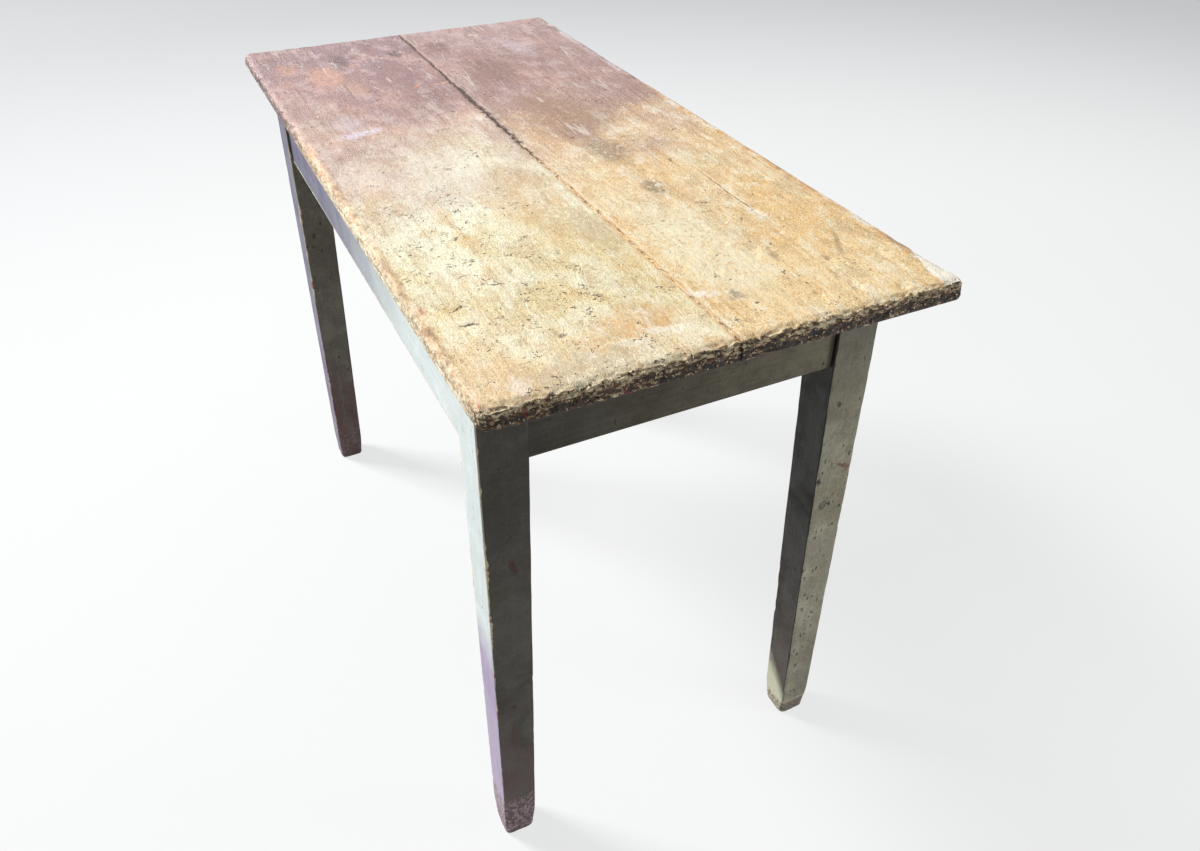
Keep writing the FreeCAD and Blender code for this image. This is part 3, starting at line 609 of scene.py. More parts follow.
    def stains(self) -> None:
        """Lays every mark on the paint; the wider it is, the more its outline is frayed."""
        stir = self.stir(self.place, 46.0, 7.0, 0.74)
        tight = self.shifted(self.place, stir, (0.0198, 0.0096, 0.0))
        middling = self.shifted(self.place, stir, (0.0495, 0.0270, 0.0))
        loose = self.shifted(self.place, stir, (0.090, 0.060, 0.0))
        broken = self.step(self.cloudy(150.0, 6.0, 0.78), 0.40, 0.50)
        for mark in TOP_MARKS:
            narrow = min(mark.long, mark.wide)
            spot = self.spot(mark, tight if narrow < 0.007 else middling if narrow < 0.0145 else loose)
            self.lay(self.times(spot, broken) if narrow > 0.005 else spot, shade(*mark.tone), mark.strength)

    def cuts(self) -> None:
        """Adds pale scratches, and short dark cracks and pits where the paint lifts."""
        self.lay(self.use(KnifeScratches, Place=self.place, Fineness=52.0)["Lines"], shade(252, 246, 234), 0.34)
        busy = self.times(self.step(self.x, 0.05, -0.18), self.step(self.y, 0.04, 0.10))
        ridge = self.ridge(self.cloudy(85.0, 3.0, 0.6, (1.0, 0.7, 0.1)))
        where = self.weigh((self.cloudy(30.0, 3.0, 0.6), 0.6), (self.cloudy(190.0, 2.0, 0.5), 0.5), (busy, 0.058))
        crack = self.times(self.step(ridge, 0.020, 0.008), self.step(where, 0.664, 0.684))
        pit = self.step(self.weigh((self.cloudy(260.0, 4.0, 0.72), 1.0), (busy, 0.02)), 0.748, 0.775)
        dark = self.math("MAXIMUM", crack, pit)
        self.lay(dark, shade(74, 48, 32), 0.88)
        self.relief.append((dark, -0.9))

    def joint(self) -> None:
        """Breaks the paint along the seam: dark and crumbled far off, orange wood nearby."""
        ragged = self.cloudy(150.0, 5.0, 0.75, (0.5, 1.0, 1.0))
        bend = self.cloudy(40.0, 3.0, 0.6, (1.0, 0.3, 1.0))
        off = self.weigh((self.y, 1.0), (ragged, 0.014), (bend, 0.008), (1.0, -0.011 - SEAM))
        away = self.math("ABSOLUTE", off)
        near = self.step(self.weigh((self.x, 1.0), (ragged, 0.6)), 0.38, 0.12)
        wide = self.times(self.step(self.x, 0.30, 0.20), self.step(self.x, -0.12, 0.02))
        band = self.mix(near, shade(146, 114, 104), shade(228, 184, 128))
        self.lay(self.step(away, 0.0062, 0.0032), band, self.times(self.step(self.crumb, 0.40, 0.50), 0.7))
        bright = self.step(self.math("ABSOLUTE", self.math("ADD", off, 0.0050)), 0.0016, 0.0006)
        self.lay(bright, self.mix(near, shade(206, 182, 172), shade(252, 240, 212)), 0.6)
        crumbs = self.times(self.step(away, 0.0110, 0.0030), wide, self.step(self.crumb, 0.51, 0.57))
        self.lay(crumbs, shade(92, 68, 60), 0.75)
        reach = self.weigh((1.0, 0.0020), (wide, 0.0024), (near, -0.0008))
        open_part = self.step(self.weigh((self.crumb, 1.0), (near, -0.11)), 0.38, 0.46)
        gap = self.times(self.step(away, reach, 0.0005), open_part)
        self.lay(gap, self.mix(near, shade(58, 42, 38), shade(122, 86, 56)), 0.9)
        self.relief.append((gap, -0.8))

    def scuffs(self) -> None:
        """Scuffs the paint along the two long edges, down to white at one corner."""
        tone = self.cloudy(44.0, 8.0, 0.76, (0.45, 1.0, 1.0))
        rest = self.weigh((self.y, 1.0), (self.crumb, 0.026), (1.0, -0.013))
        front = self.ramp(
            tone, (0.36, 136, 104, 84), (0.44, 208, 148, 94), (0.50, 230, 190, 138), (0.55, 242, 220, 184),
            (0.58, 254, 253, 250),
        )
        lilac = self.ramp(tone, (0.38, 128, 100, 96), (0.48, 190, 166, 162), (0.56, 232, 222, 224))
        front = self.mix(self.step(self.x, 0.02, 0.24), front, lilac)
        back = self.ramp(
            tone, (0.36, 96, 70, 52), (0.44, 172, 132, 92), (0.51, 216, 188, 148), (0.58, 240, 224, 196),
            (0.64, 222, 140, 84),
        )
        self.lay(self.step(rest, 0.019 - HALF_WIDTH, 0.009 - HALF_WIDTH), front, 0.70)
        sunny = self.times(self.step(rest, HALF_WIDTH - 0.014, HALF_WIDTH - 0.006), self.step(self.x, 0.22, -0.08))
        self.lay(sunny, back, 0.85)
        corner = self.spot(BARE_CORNER, self.place)
        bare = self.step(self.weigh((corner, 1.0), (tone, 3.2)), 1.94, 2.14)
        bare = self.times(bare, self.step(corner, 0.02, 0.25))
        self.lay(bare, shade(*BARE_CORNER.tone), BARE_CORNER.strength)

    def near_rim(self) -> None:
        """Smokes and crumbles the brink of the near end."""
        soot = self.step(self.weigh((self.x, 1.0), (self.jag, 1.4)), 0.022 - HALF_LENGTH, 0.003 - HALF_LENGTH)
        self.darken(soot, (0.40, 0.33, 0.27), self.weigh((self.step(self.y, -0.12, 0.10), 0.30), (1.0, 0.26)))
        brink = self.step(self.weigh((self.x, 1.0), (self.jag, 0.5)), 0.007 - HALF_LENGTH, 0.003 - HALF_LENGTH)
        crust = self.ramp(
            self.chips, (0.38, 34, 25, 18), (0.45, 86, 67, 48), (0.50, 150, 124, 88), (0.54, 224, 200, 152),
            (0.58, 252, 242, 210),
        )
        self.lay(brink, crust, 0.92)

    def rim(self) -> None:
        """Colours the edges: dark and crumbled at the near end, paler near its upper brink partly as a painted
        highlight, and chipped along the sides, paler on the window side as painted light.
        """
        upper = self.step(self.z, TOP - 0.014, TOP - 0.003)
        # Paler chips near the upper brink are partly the paint's crumbs and partly a painted highlight where light
        # falls on it.
        dark = self.ramp(
            self.weigh((self.chips, 1.0), (upper, 0.095), (self.step(self.y, 0.02, -0.16), -0.018)),
            (0.40, 14, 10, 7), (0.495, 44, 32, 24), (0.540, 102, 76, 54), (0.572, 176, 142, 100),
            (0.605, 252, 236, 198),
        )
        dark = self.over(dark, self.step(self.cloudy(75.0, 2.0), 0.64, 0.68), shade(118, 44, 34), 0.8)
        pale = self.ramp(
            self.chips, (0.36, 104, 76, 54), (0.44, 172, 142, 106), (0.50, 212, 196, 164), (0.57, 232, 226, 204),
            (0.64, 220, 150, 98),
        )
        dull = self.ramp(
            self.chips, (0.40, 58, 45, 42), (0.50, 108, 86, 82), (0.56, 150, 126, 120), (0.62, 204, 184, 178)
        )
        tan = self.ramp(self.chips, (0.36, 86, 66, 50), (0.50, 158, 128, 98), (0.62, 216, 194, 160))
        dull = self.mix(self.step(self.x, 0.00, 0.28), tan, dull)
        # Painted light: the window side's edge takes the paler copy of the chipped colour.
        sunny = self.times(self.step(self.y, HALF_WIDTH - 0.025, HALF_WIDTH - 0.010), self.step(self.x, 0.20, -0.10))
        near = self.step(self.x, 0.030 - HALF_LENGTH, 0.012 - HALF_LENGTH)
        side = self.step(self.math("ADD", self.z, self.jag), TOP - 0.0022, TOP - 0.0050)
        self.lay(side, self.mix(near, self.mix(sunny, dull, pale), dark))

    def underside(self) -> None:
        """Leaves the wood bare below."""
        wood = self.mix(self.grain["Grain"], shade(112, 84, 58), shade(140, 108, 78))
        self.lay(self.step(self.z, TOP - 0.0205, TOP - 0.0216), wood)


class PaintFinish(Coat):
    """Old sage grey paint, with painted light on the long side that faces the window and painted shade on the end
    faces and in under the table.
    """

    def __init__(self, name: str, box: tuple[Vector, Vector] | None, reach: float) -> None:
        """Starts the material of one painted piece.

        Args:
            name: The piece's name.
            box: The piece's corners, from which its arrises are found, or None
                where the mesh carries them as an attribute, as the legs do.
            reach: How far in the paint has rubbed off, in metres.
        """
        super().__init__(f"paint_{name}")
        self.reach, self.upright = reach, box is None
        if box is None:
            self.arris = self.add("ShaderNodeAttribute", attribute_name="arris").outputs["Fac"]
        else:
            self.arris = self.use(BoxArris, Place=self.place, Low=tuple(box[0]), High=tuple(box[1]))["Distance"]
        self.cloud = self.cloudy(7.0, 5.0, 0.6)
        self.mottle = self.cloudy(34.0, 7.0, 0.70)
        self.speck = self.cloudy(260.0, 4.0, 0.72)
        self.brush = self.cloudy(1.0, 4.0, 0.62, (150.0, 150.0, 9.0) if self.upright else (14.0, 14.0, 260.0))
        self.dirt = self.use(Grime, Place=self.place, Scale=11.0)["Dirt"]
        self.look_x, self.look_y, _ = self.split(self.add("ShaderNodeTexCoord").outputs["Normal"])
        # Painted light goes on these window-side faces that look to +Y.
        self.sunny = self.times(self.step(self.y, 0.15, 0.19), self.step(self.look_y, 0.35, 0.8))
        self.window = self.step(self.y, 0.0, 0.1)
        self.bare: Feed = 0.0
        self.relief = [(self.mottle, 0.5), (self.speck, 0.35), (self.brush, 0.5)]

    def make(self) -> Material:
        """Lays the layers in order.

        Returns:
            The material of the piece.
        """
        for layer in (
            self.ground, self.shaded, self.window_side, self.knocks, self.nicks, self.rubbed, self.worn_and_lit_foot,
        ):
            layer()
        self.shader["Specular IOR Level"].default_value = 0.22
        return self.finish(self.weigh((1.0, 0.38), (self.math("MAXIMUM", self.bare, self.dirt), 0.3)), 0.0009)

    def ground(self) -> None:
        """Brushes the paint on, with its specks and dirt."""
        patchy = self.step(self.weigh((self.cloud, 0.45), (self.mottle, 0.55)), 0.43, 0.58)
        self.colour = self.mix(patchy, shade(116, 112, 100), shade(138, 135, 121))
        self.lay(self.step(self.brush, 0.53, 0.66), shade(160, 158, 144), 0.12 if self.upright else 0.32)
        self.darken(self.step(self.brush, 0.46, 0.34), (0.66, 0.64, 0.60), 0.2 if self.upright else 0.5)
        self.lay(self.step(self.speck, 0.56, 0.64), shade(160, 158, 146), 0.32)
        self.lay(self.step(self.speck, 0.44, 0.36), shade(66, 60, 52), 0.34)
        self.lay(self.dirt, shade(84, 74, 62), 0.24)

    def shaded(self) -> None:
        """Paints shade on the faces that look to -X and, darker, on the faces that look in under the table, paints
        light low on one end face, and adds low pinkish drips.
        """
        # Painted shade on faces that look to -X: darkest on the near-end leg on the window side, lighter on the drawer
        # side.
        painted_end_shade = self.mix(self.step(self.y, -0.19, 0.19), (0.80, 0.76, 0.66, 1.0), (0.32, 0.30, 0.275, 1.0))
        painted_end_shade = self.mix(self.step(self.y, 0.178, 0.186), painted_end_shade, (0.40, 0.39, 0.385, 1.0))
        # Painted light on the end face of the near-end leg on the drawer side, strongest low down, and painted shade
        # on the far legs' faces that look in under the top.
        lit_end_face = self.times(self.step(self.y, -0.180, -0.184), self.step(self.x, -0.4435, -0.4465))
        light = self.mix(self.step(self.z, 0.66, 0.42), (0.86, 0.84, 0.78, 1.0), (2.00, 2.02, 1.88, 1.0))
        painted_end_shade = self.mix(self.step(self.x, 0.2, 0.3), self.mix(lit_end_face, painted_end_shade, light), (0.72, 0.71, 0.72, 1.0))
        self.lay(self.step(self.look_x, -0.5, -0.85), painted_end_shade, 1.0, "MULTIPLY")
        # Painted shade on drawer-half faces that look to +Y in under the table, deepest high up under the top.
        inward = self.times(self.step(self.look_y, 0.5, 0.85), self.step(self.y, 0.10, 0.0))
        painted_under_shade = self.mix(self.step(self.z, 0.10, 0.48), (0.37, 0.33, 0.32, 1.0), (0.06, 0.057, 0.055, 1.0))
        self.lay(inward, painted_under_shade, 1.0, "MULTIPLY")
        drips = self.step(self.cloudy(1.0, 4.0, 0.65, (90.0, 90.0, 8.0)), 0.41, 0.52)
        low = self.step(self.weigh((self.z, 1.0), (self.mottle, 0.30), (1.0, -0.15)), 0.32, 0.06)
        self.lay(self.times(low, drips), shade(98, 72, 72), self.weigh((self.window, 0.70), (1.0, 0.20)))

    def window_side(self) -> None:
        """Colours the faces that look to +Y on the window side: pale nearby as painted light, slate far off, lavender
        low down.
        """
        soft = self.weigh((self.cloud, 0.25), (1.0, -0.125))
        far = self.step(self.math("ADD", self.x, soft), -0.30, 0.20)
        low = self.step(self.math("ADD", self.z, soft), 0.43, 0.29)
        lavender = self.mix(self.step(self.x, -0.30, 0.20), shade(159, 141, 172), shade(110, 101, 120))
        # The pale tone nearby is painted light on the window side.
        lit_side_tone = self.over(self.mix(far, shade(206, 216, 213), shade(92, 90, 110)), low, lavender, 0.9)
        for mask, tone in (
            (self.step(self.brush, 0.50, 0.64), (1.16, 1.15, 1.17, 1.0)),
            (self.step(self.mottle, 0.52, 0.64), (1.20, 1.17, 1.22, 1.0)),
            (self.step(self.mottle, 0.44, 0.36), (0.80, 0.78, 0.80, 1.0)),
        ):
            lit_side_tone = self.over(lit_side_tone, mask, tone, 0.6, "MULTIPLY")
        self.lay(self.sunny, lit_side_tone)

    def knocks(self) -> None:
        """Lays the larger knocks on the near legs' end faces."""
        flat = self.add("ShaderNodeCombineXYZ", {0: self.y, 1: self.z}).outputs[0]
        place = self.shifted(flat, self.stir(flat, 240.0), (0.010, 0.010, 0.0))
        here = self.times(self.step(self.look_x, -0.4, -0.8), self.step(self.x, -0.40, -0.42))
        for mark in LEG_MARKS:
            self.lay(self.times(self.spot(mark, place), here), shade(*mark.tone), mark.strength)

    def nicks(self) -> None:
        """Scatters dark nicks, most of them low on the drawer side's legs."""
        low = self.times(self.step(self.y, -0.10, -0.18), self.step(self.z, 0.56, 0.36))
        crowd = self.times(self.step(self.mottle, 0.44, 0.56), self.weigh((low, 0.75), (1.0, 0.12)))
        share, squat = self.weigh((1.0, 0.03), (crowd, 1.0)), self.stretch(self.place, (1.0, 1.0, 0.5))
        small = self.use(SmallNicks, Place=squat, Scale=170.0, Share=share, Width=0.30)["Mask"]
        slant = self.stretch(self.place, (1.0, 1.0, 0.4), (0.3, 0.0, 0.0))
        long = self.use(SmallNicks, Place=slant, Scale=70.0, Share=0.10, Width=0.16)["Mask"]
        nicks = self.math("MAXIMUM", small, long)
        self.lay(nicks, shade(46, 38, 32), self.weigh((1.0, 0.85), (self.sunny, -0.65)))
        self.relief.append((nicks, -1.2))

    def rubbed(self) -> None:
        """Rubs the arrises bare, warm and pale on the window side."""
        warm = self.step(self.y, 0.214, 0.231)
        upper = self.times(warm, self.step(self.z, 0.30, 0.46))
        wide = self.weigh((1.0, self.reach), (upper, 0.9 * self.reach))
        self.bare = self.use(RubbedArris, Place=self.place, Distance=self.arris, Reach=wide)["Bare"]
        wood = self.mix(self.step(self.cloudy(60.0, 5.0, 0.7), 0.43, 0.52), shade(190, 112, 72), shade(236, 224, 196))
        self.lay(self.bare, self.mix(warm, shade(62, 50, 42), wood), 0.88)
        high = self.step(self.weigh((self.z, 1.0), (self.mottle, 0.3)), 0.52, 0.62)
        self.lay(self.times(self.step(self.arris, 0.0020, 0.0010), warm, high), shade(236, 228, 208), 0.8)
        self.relief.append((self.bare, -0.35))

    def worn_and_lit_foot(self) -> None:
        """Paints a pool of light low on the near-end leg's +Y face on the drawer side, then wears the feet: scrubbed
        pink on the window side, a brown band on the other.
        """
        slope = self.weigh((self.z, 1.0), (self.x, -1.3), (self.mottle, 0.03), (1.0, -0.601))
        inward = self.times(self.step(self.look_y, 0.3, 0.7), self.step(self.x, 0.0, -0.1))
        # Painted pool of light: the window's light falling low on this foot under the top.
        lit = self.times(self.math("SUBTRACT", inward, self.window, True), self.step(slope, 0.062, 0.018))
        self.lay(lit, shade(224, 225, 196), 0.95)
        level = self.weigh((self.z, 1.0), (self.mottle, 0.13), (self.speck, 0.06), (1.0, -0.095))
        spots = self.step(self.cloudy(190.0, 6.0, 0.80), 0.50, 0.55)
        pink = self.mix(spots, shade(104, 80, 81), shade(195, 169, 177))
        near = self.weigh((self.step(self.x, 0.1, -0.1), 0.70), (1.0, 0.18))
        self.lay(self.times(self.step(level, 0.090, 0.068), self.window), pink, near)
        edge = self.weigh((self.z, 1.0), (self.mottle, 0.02), (1.0, -0.010))
        line = self.times(self.step(edge, 0.031, 0.027), self.step(self.speck, 0.42, 0.50))
        brown = self.mix(spots, shade(104, 84, 70), shade(150, 132, 110))
        band = self.mix(self.step(edge, 0.026, 0.022), shade(212, 202, 172), brown)
        self.lay(self.math("SUBTRACT", line, self.window, True), band, 0.85)


@dataclass(frozen=True)
class WoodFinish:
    """Bare aged softwood."""

    name: str
    along: Along
    light: Tone = (186, 148, 104)
    dark: Tone = (138, 98, 62)

    def material(self) -> Material:
        """Makes the material.

        Returns:
            The material of the unpainted wood whose grain runs this way.
        """
        coat = Coat(self.name)
        grain = coat.use(BoardGrain, Place=coat.stretch(coat.place, turn=self.along.value), Rings=16.0)
        coat.colour = coat.mix(coat.step(grain["Grain"], 0.30, 0.66), shade(*self.dark), shade(*self.light))
        coat.lay(grain["Pores"], shade(92, 62, 40), 0.35)
        coat.lay(coat.use(Grime, Place=coat.place, Scale=9.0)["Dirt"], shade(104, 82, 62), 0.4)
        coat.relief = [(grain["Grain"], 1.0), (grain["Pores"], -0.5)]
        return coat.finish(coat.weigh((1.0, 0.58), (grain["Fibre"], 0.25)), 0.0005)


@dataclass(frozen=True)
class KnobFinish:
    """Dark turned wood, rubbed paler on its rim by hands."""

    name: str
    dark: Tone = (62, 42, 30)
    rubbed: Tone = (140, 96, 62)

    def material(self) -> Material:
        """Makes the material.

        Returns:
            The material of the knob.
        """
        coat = Coat(self.name)
        grain = coat.use(BoardGrain, Place=coat.stretch(coat.place, turn=Along.DEPTH.value), Rings=60.0)
        handled = coat.step(coat.weigh((coat.y, 1.0), (coat.cloudy(160.0, 4.0), 0.006)), -0.243, -0.253)
        coat.colour = coat.mix(coat.times(handled, 0.7), shade(*self.dark), shade(*self.rubbed))
        coat.darken(coat.step(grain["Grain"], 0.6, 0.35), (0.5, 0.42, 0.36))
        coat.shader["Coat Weight"].default_value = 0.2
        coat.shader["Coat Roughness"].default_value = 0.25
        coat.relief = [(grain["Fibre"], 1.0)]
        return coat.finish(coat.weigh((1.0, 0.46), (handled, -0.14)), 0.0003)


@dataclass(frozen=True)
class IronFinish:
    """Rusty iron nails."""

    name: str = "rusty_iron"
    iron: Tone = (70, 62, 56)
    rust: Tone = (112, 66, 42)

    def material(self) -> Material:
        """Makes the material.

        Returns:
            The material of the nails.
        """
        coat = Coat(self.name)
        rust = coat.step(coat.cloudy(420.0, 5.0, 0.7), 0.42, 0.58)
        coat.colour = coat.mix(rust, shade(*self.iron), shade(*self.rust))
        coat.feed(coat.shader["Metallic"], coat.weigh((1.0, 0.85), (rust, -0.75)))
        coat.relief = [(rust, 1.0)]
        return coat.finish(coat.weigh((1.0, 0.5), (rust, 0.35)), 0.0003)


@dataclass(frozen=True)
class FlakeFinish:
    """Loose flakes of the paint's layers, each with a tone of its own."""

    name: str = "paint_flakes"
    dust: Tone = (120, 92, 64)

    def material(self) -> Material:
        """Makes the material.

        Returns:
            The material of the flakes.
        """
        coat = Coat(self.name)
        coat.colour = coat.ramp(
            coat.add("ShaderNodeAttribute", attribute_name="tone").outputs["Fac"],
            (0.0, 30, 21, 15), (0.42, 74, 54, 39), (0.50, 190, 158, 112),
            (0.60, 230, 212, 168), (0.90, 246, 236, 208), (0.97, 150, 56, 44),
        )
        speck = coat.cloudy(600.0, 3.0)
        coat.lay(coat.step(speck, 0.5, 0.65), shade(*self.dust), 0.35)
        coat.relief = [(speck, 1.0)]
        return coat.finish(coat.weigh((1.0, 0.5), (speck, 0.4)), 0.0003)


@dataclass(frozen=True)
class WearNoise:
    """Smooth noise on a lattice, the same on every run."""

    seed: int
    table_size: ClassVar[int] = 8192
    mixers: ClassVar[tuple[int, int, int]] = (73856093, 19349663, 83492791)

    def smooth(self, places: Array, cell: Place) -> Array:
        """Reads one layer of noise.

        Args:
            places: Points, one in each row.
            cell: The size of the lattice's cells.

        Returns:
            A value from 0 to 1 for each point.
        """
        spots = places / np.asarray(cell) + self.seed * 17.31
        corner = np.floor(spots).astype(np.int64)
        part = spots - corner
        part = part * part * (3.0 - 2.0 * part)
        table = np.random.default_rng(self.seed).random(self.table_size)
        value = np.zeros(len(places))
        for number in range(8):
            offset = np.array([number & 1, number >> 1 & 1, number >> 2 & 1])
            mixed = np.bitwise_xor.reduce((corner + offset) * np.array(self.mixers), axis=1)
            value += np.prod(np.where(offset == 1, part, 1.0 - part), axis=1) * table[mixed % self.table_size]
        return value

    def layered(self, places: Array, cell: Place, layers: int = 3) -> Array:
        """Adds finer layers of noise to a coarse one.

        Args:
            places: Points, one in each row.
            cell: The size of the coarsest cells.
            layers: How many layers there are.

        Returns:
            A value from 0 to 1 for each point.
        """
        value, weight, sum_of_weights = np.zeros(len(places)), 1.0, 0.0
        for layer in range(layers):
            value += weight * WearNoise(self.seed + layer).smooth(places, tuple(np.asarray(cell) / 2.0 ** layer))
            sum_of_weights += weight
            weight *= 0.55
        return value / sum_of_weights


def ease(value: Array, low: float, high: float) -> Array:
    """Steps softly from 0 at low to 1 at high, for a whole array."""
    share = np.clip((value - low) / (high - low), 0.0, 1.0)
    return share * share * (3.0 - 2.0 * share)


def grid_lines(low: float, high: float, spans: Sequence[tuple[float, float]], extra: Iterable[float] = ()) -> Array:
    """Lays grid lines whose spacing differs from span to span.

    Args:
        low: The first line.
        high: The last line.
        spans: The end of each span and its spacing, from low upwards.
        extra: More lines.

    Returns:
        The lines in order.
    """
    lines: list[float] = [low]
    for end, spacing in spans:
        start = lines[-1]
        count = max(1, round((end - start) / spacing))
        lines += [start + (end - start) * (step + 1) / count for step in range(count)]
    lines += [place for place in extra if low < place < high]
    ordered = np.unique(np.round(np.array(lines + [high]), 6))
    return ordered[np.concatenate([[True], np.diff(ordered) > 5e-5])]


def round_edge(gap: Array, drop: Array, radius: Union[float, Array]) -> tuple[Array, Array]:
    """Rounds the edge between two faces of a block.

    Args:
        gap: How far each point is in from the first face.
        drop: How far each point is in from the second face.
        radius: The edge's radius.

    Returns:
        The two distances after rounding.
    """
    across, down = np.clip(radius - gap, 0.0, None), np.clip(radius - drop, 0.0, None)
    share = np.maximum(across, down) / np.maximum(np.hypot(across, down), TINY)
    both = (across > 0) & (down > 0)
    return np.where(both, radius - across * share, gap), np.where(both, radius - down * share, drop)


def round_plan(first: Array, second: Array, radius: Union[float, Array]) -> tuple[Array, ...]:
    """Rounds a corner of an outline.

    Args:
        first: How far each point is in from the first side.
        second: How far each point is in from the second side.
        radius: The corner's radius.

    Returns:
        The two distances after rounding, and the two parts of the way inward.
    """
    new_first, new_second = round_edge(first, second, radius)
    in_first, in_second = radius - new_first, radius - new_second
    corner = (in_first > 0) & (in_second > 0)
    length = np.maximum(np.hypot(in_first, in_second), TINY)
    toward_first = np.where(corner, in_first / length, (first <= second).astype(float))
    toward_second = np.where(corner, in_second / length, (first > second).astype(float))
    return new_first, new_second, toward_first, toward_second


def block_skin(x: Array, y: Array, z: Array) -> tuple[Array, Array]:
    """Lays a closed skin of four-sided faces on the grid lines of a box.

    Args:
        x: The lines along X.
        y: The lines along Y.
        z: The lines along Z.

    Returns:
        The points, and the four corners of each face.
    """
    shape = (len(x), len(y), len(z))
    i, j, k = np.indices(shape)
    outer = np.zeros(shape, bool)
    for index, count in zip((i, j, k), shape):
        outer |= (index == 0) | (index == count - 1)
    number = np.full(shape, -1)
    number[outer] = np.arange(outer.sum())
    faces = []
    for sheet, flip in (
        (number[:, :, -1], False), (number[:, :, 0], True), (number[-1], False),
        (number[0], True), (number[:, 0], False), (number[:, -1], True),
    ):
        quads = np.stack([sheet[:-1, :-1], sheet[1:, :-1], sheet[1:, 1:], sheet[:-1, 1:]], axis=-1).reshape(-1, 4)
        faces.append(quads[:, ::-1] if flip else quads)
    return np.stack([x[i[outer]], y[j[outer]], z[k[outer]]], axis=1), np.concatenate(faces)


class Workshop:
    """Makes pieces from meshes and puts them on the table."""

    @staticmethod
    def mesh(name: str, points: Array, faces: Array) -> Mesh:
        """Makes a smooth mesh.

        Args:
            name: The mesh's name.
            points: The points.
            faces: The corners of each face.

        Returns:
            The mesh.
        """
        mesh = bpy.data.meshes.new(name)
        mesh.from_pydata(points.tolist(), [], faces.tolist())
        mesh.shade_smooth()
        mesh.update()
        return mesh

    @staticmethod
    def normals(mesh: Mesh) -> Array:
        """Reads the direction that each point of a mesh faces.

        Args:
            mesh: The mesh.

        Returns:
            One unit vector for each point.
        """
        flat = np.zeros(len(mesh.vertices) * 3, np.float32)
        mesh.vertex_normals.foreach_get("vector", flat)
        return flat.reshape(-1, 3).astype(float)

    @staticmethod
    def move(mesh: Mesh, points: Array) -> None:
        """Gives a mesh's points new places."""
        mesh.vertices.foreach_set("co", points.astype(np.float32).ravel())
        mesh.update()

    @staticmethod
    def cast(shape: bmesh.types.BMesh, name: str) -> Mesh:
        """Turns a shape in the making into a mesh.

        Args:
            shape: The shape, which is used up.
            name: The mesh's name.

        Returns:
            The mesh.
        """
        mesh = bpy.data.meshes.new(name)
        shape.to_mesh(mesh)
        shape.free()
        return mesh

    @staticmethod
    def solid(node: str) -> bmesh.types.BMesh:
        """Copies a solid's shape.

        Args:
            node: The solid's name.

        Returns:
            The copy, with its points welded.
        """
        shape = bmesh.new()
        shape.from_mesh(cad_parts[node].data)
        bmesh.ops.remove_doubles(shape, verts=shape.verts, dist=WELD)
        return shape

    @staticmethod
    def piece(
        name: str, mesh: Mesh, material: Material | None, body: Body, slot: Slot, node: str | None = None
    ) -> Piece:
        """Puts a mesh on a body of the table.

        Args:
            name: The piece's name.
            mesh: Its mesh, in place.
            material: Its material, or None where the mesh has one.
            body: The body that carries it.
            slot: Not used.
            node: The solid that it stands for.

        Returns:
            The piece.
        """
        piece = bpy.data.objects.new(name, mesh)
        bpy.context.scene.collection.objects.link(piece)
        if material is not None:
            mesh.materials.clear()
            mesh.materials.append(material)
        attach(piece, body.value)
        if node:
            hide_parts(node)
        return piece

    @staticmethod
    def eased(node: str, bevel: float, material: Material, body: Body, slot: Slot) -> Piece:
        """Makes a piece from a solid, with its sharp arrises taken off.

        Args:
            node: The solid's name.
            bevel: The width that is taken off.
            material: The piece's material.
            body: The body that carries it.
            slot: Not used, only passed on.

        Returns:
            The piece.
        """
        shape = Workshop.solid(node)
        bmesh.ops.dissolve_limit(shape, angle_limit=FLAT_ANGLE, verts=shape.verts, edges=shape.edges)
        sharp = [edge for edge in shape.edges if edge.is_manifold and edge.calc_face_angle(0.0) > SHARP_ANGLE]
        bmesh.ops.bevel(shape, geom=sharp, offset=bevel, segments=2, profile=0.6, affect="EDGES", clamp_overlap=True)
        return Workshop.piece(f"{node}_eased", Workshop.cast(shape, node), material, body, slot, node)


@dataclass(frozen=True)
class Dent:
    """A hollow in the top: its middle, half length, half width, depth and turn."""

    x: float
    y: float
    long: float
    wide: float
    depth: float
    turn: float = 0.0

    def sink(self, points: Array) -> Array:
        """Measures how deep the dent is at each point.

        Args:
            points: The points.

        Returns:
            The depth at each point.
        """
        away_x, away_y = points[:, 0] - self.x, points[:, 1] - self.y
        cos, sin = math.cos(self.turn), math.sin(self.turn)
        along, across = away_x * cos + away_y * sin, away_y * cos - away_x * sin
        return self.depth * np.exp(-((along / self.long) ** 2 + (across / self.wide) ** 2))


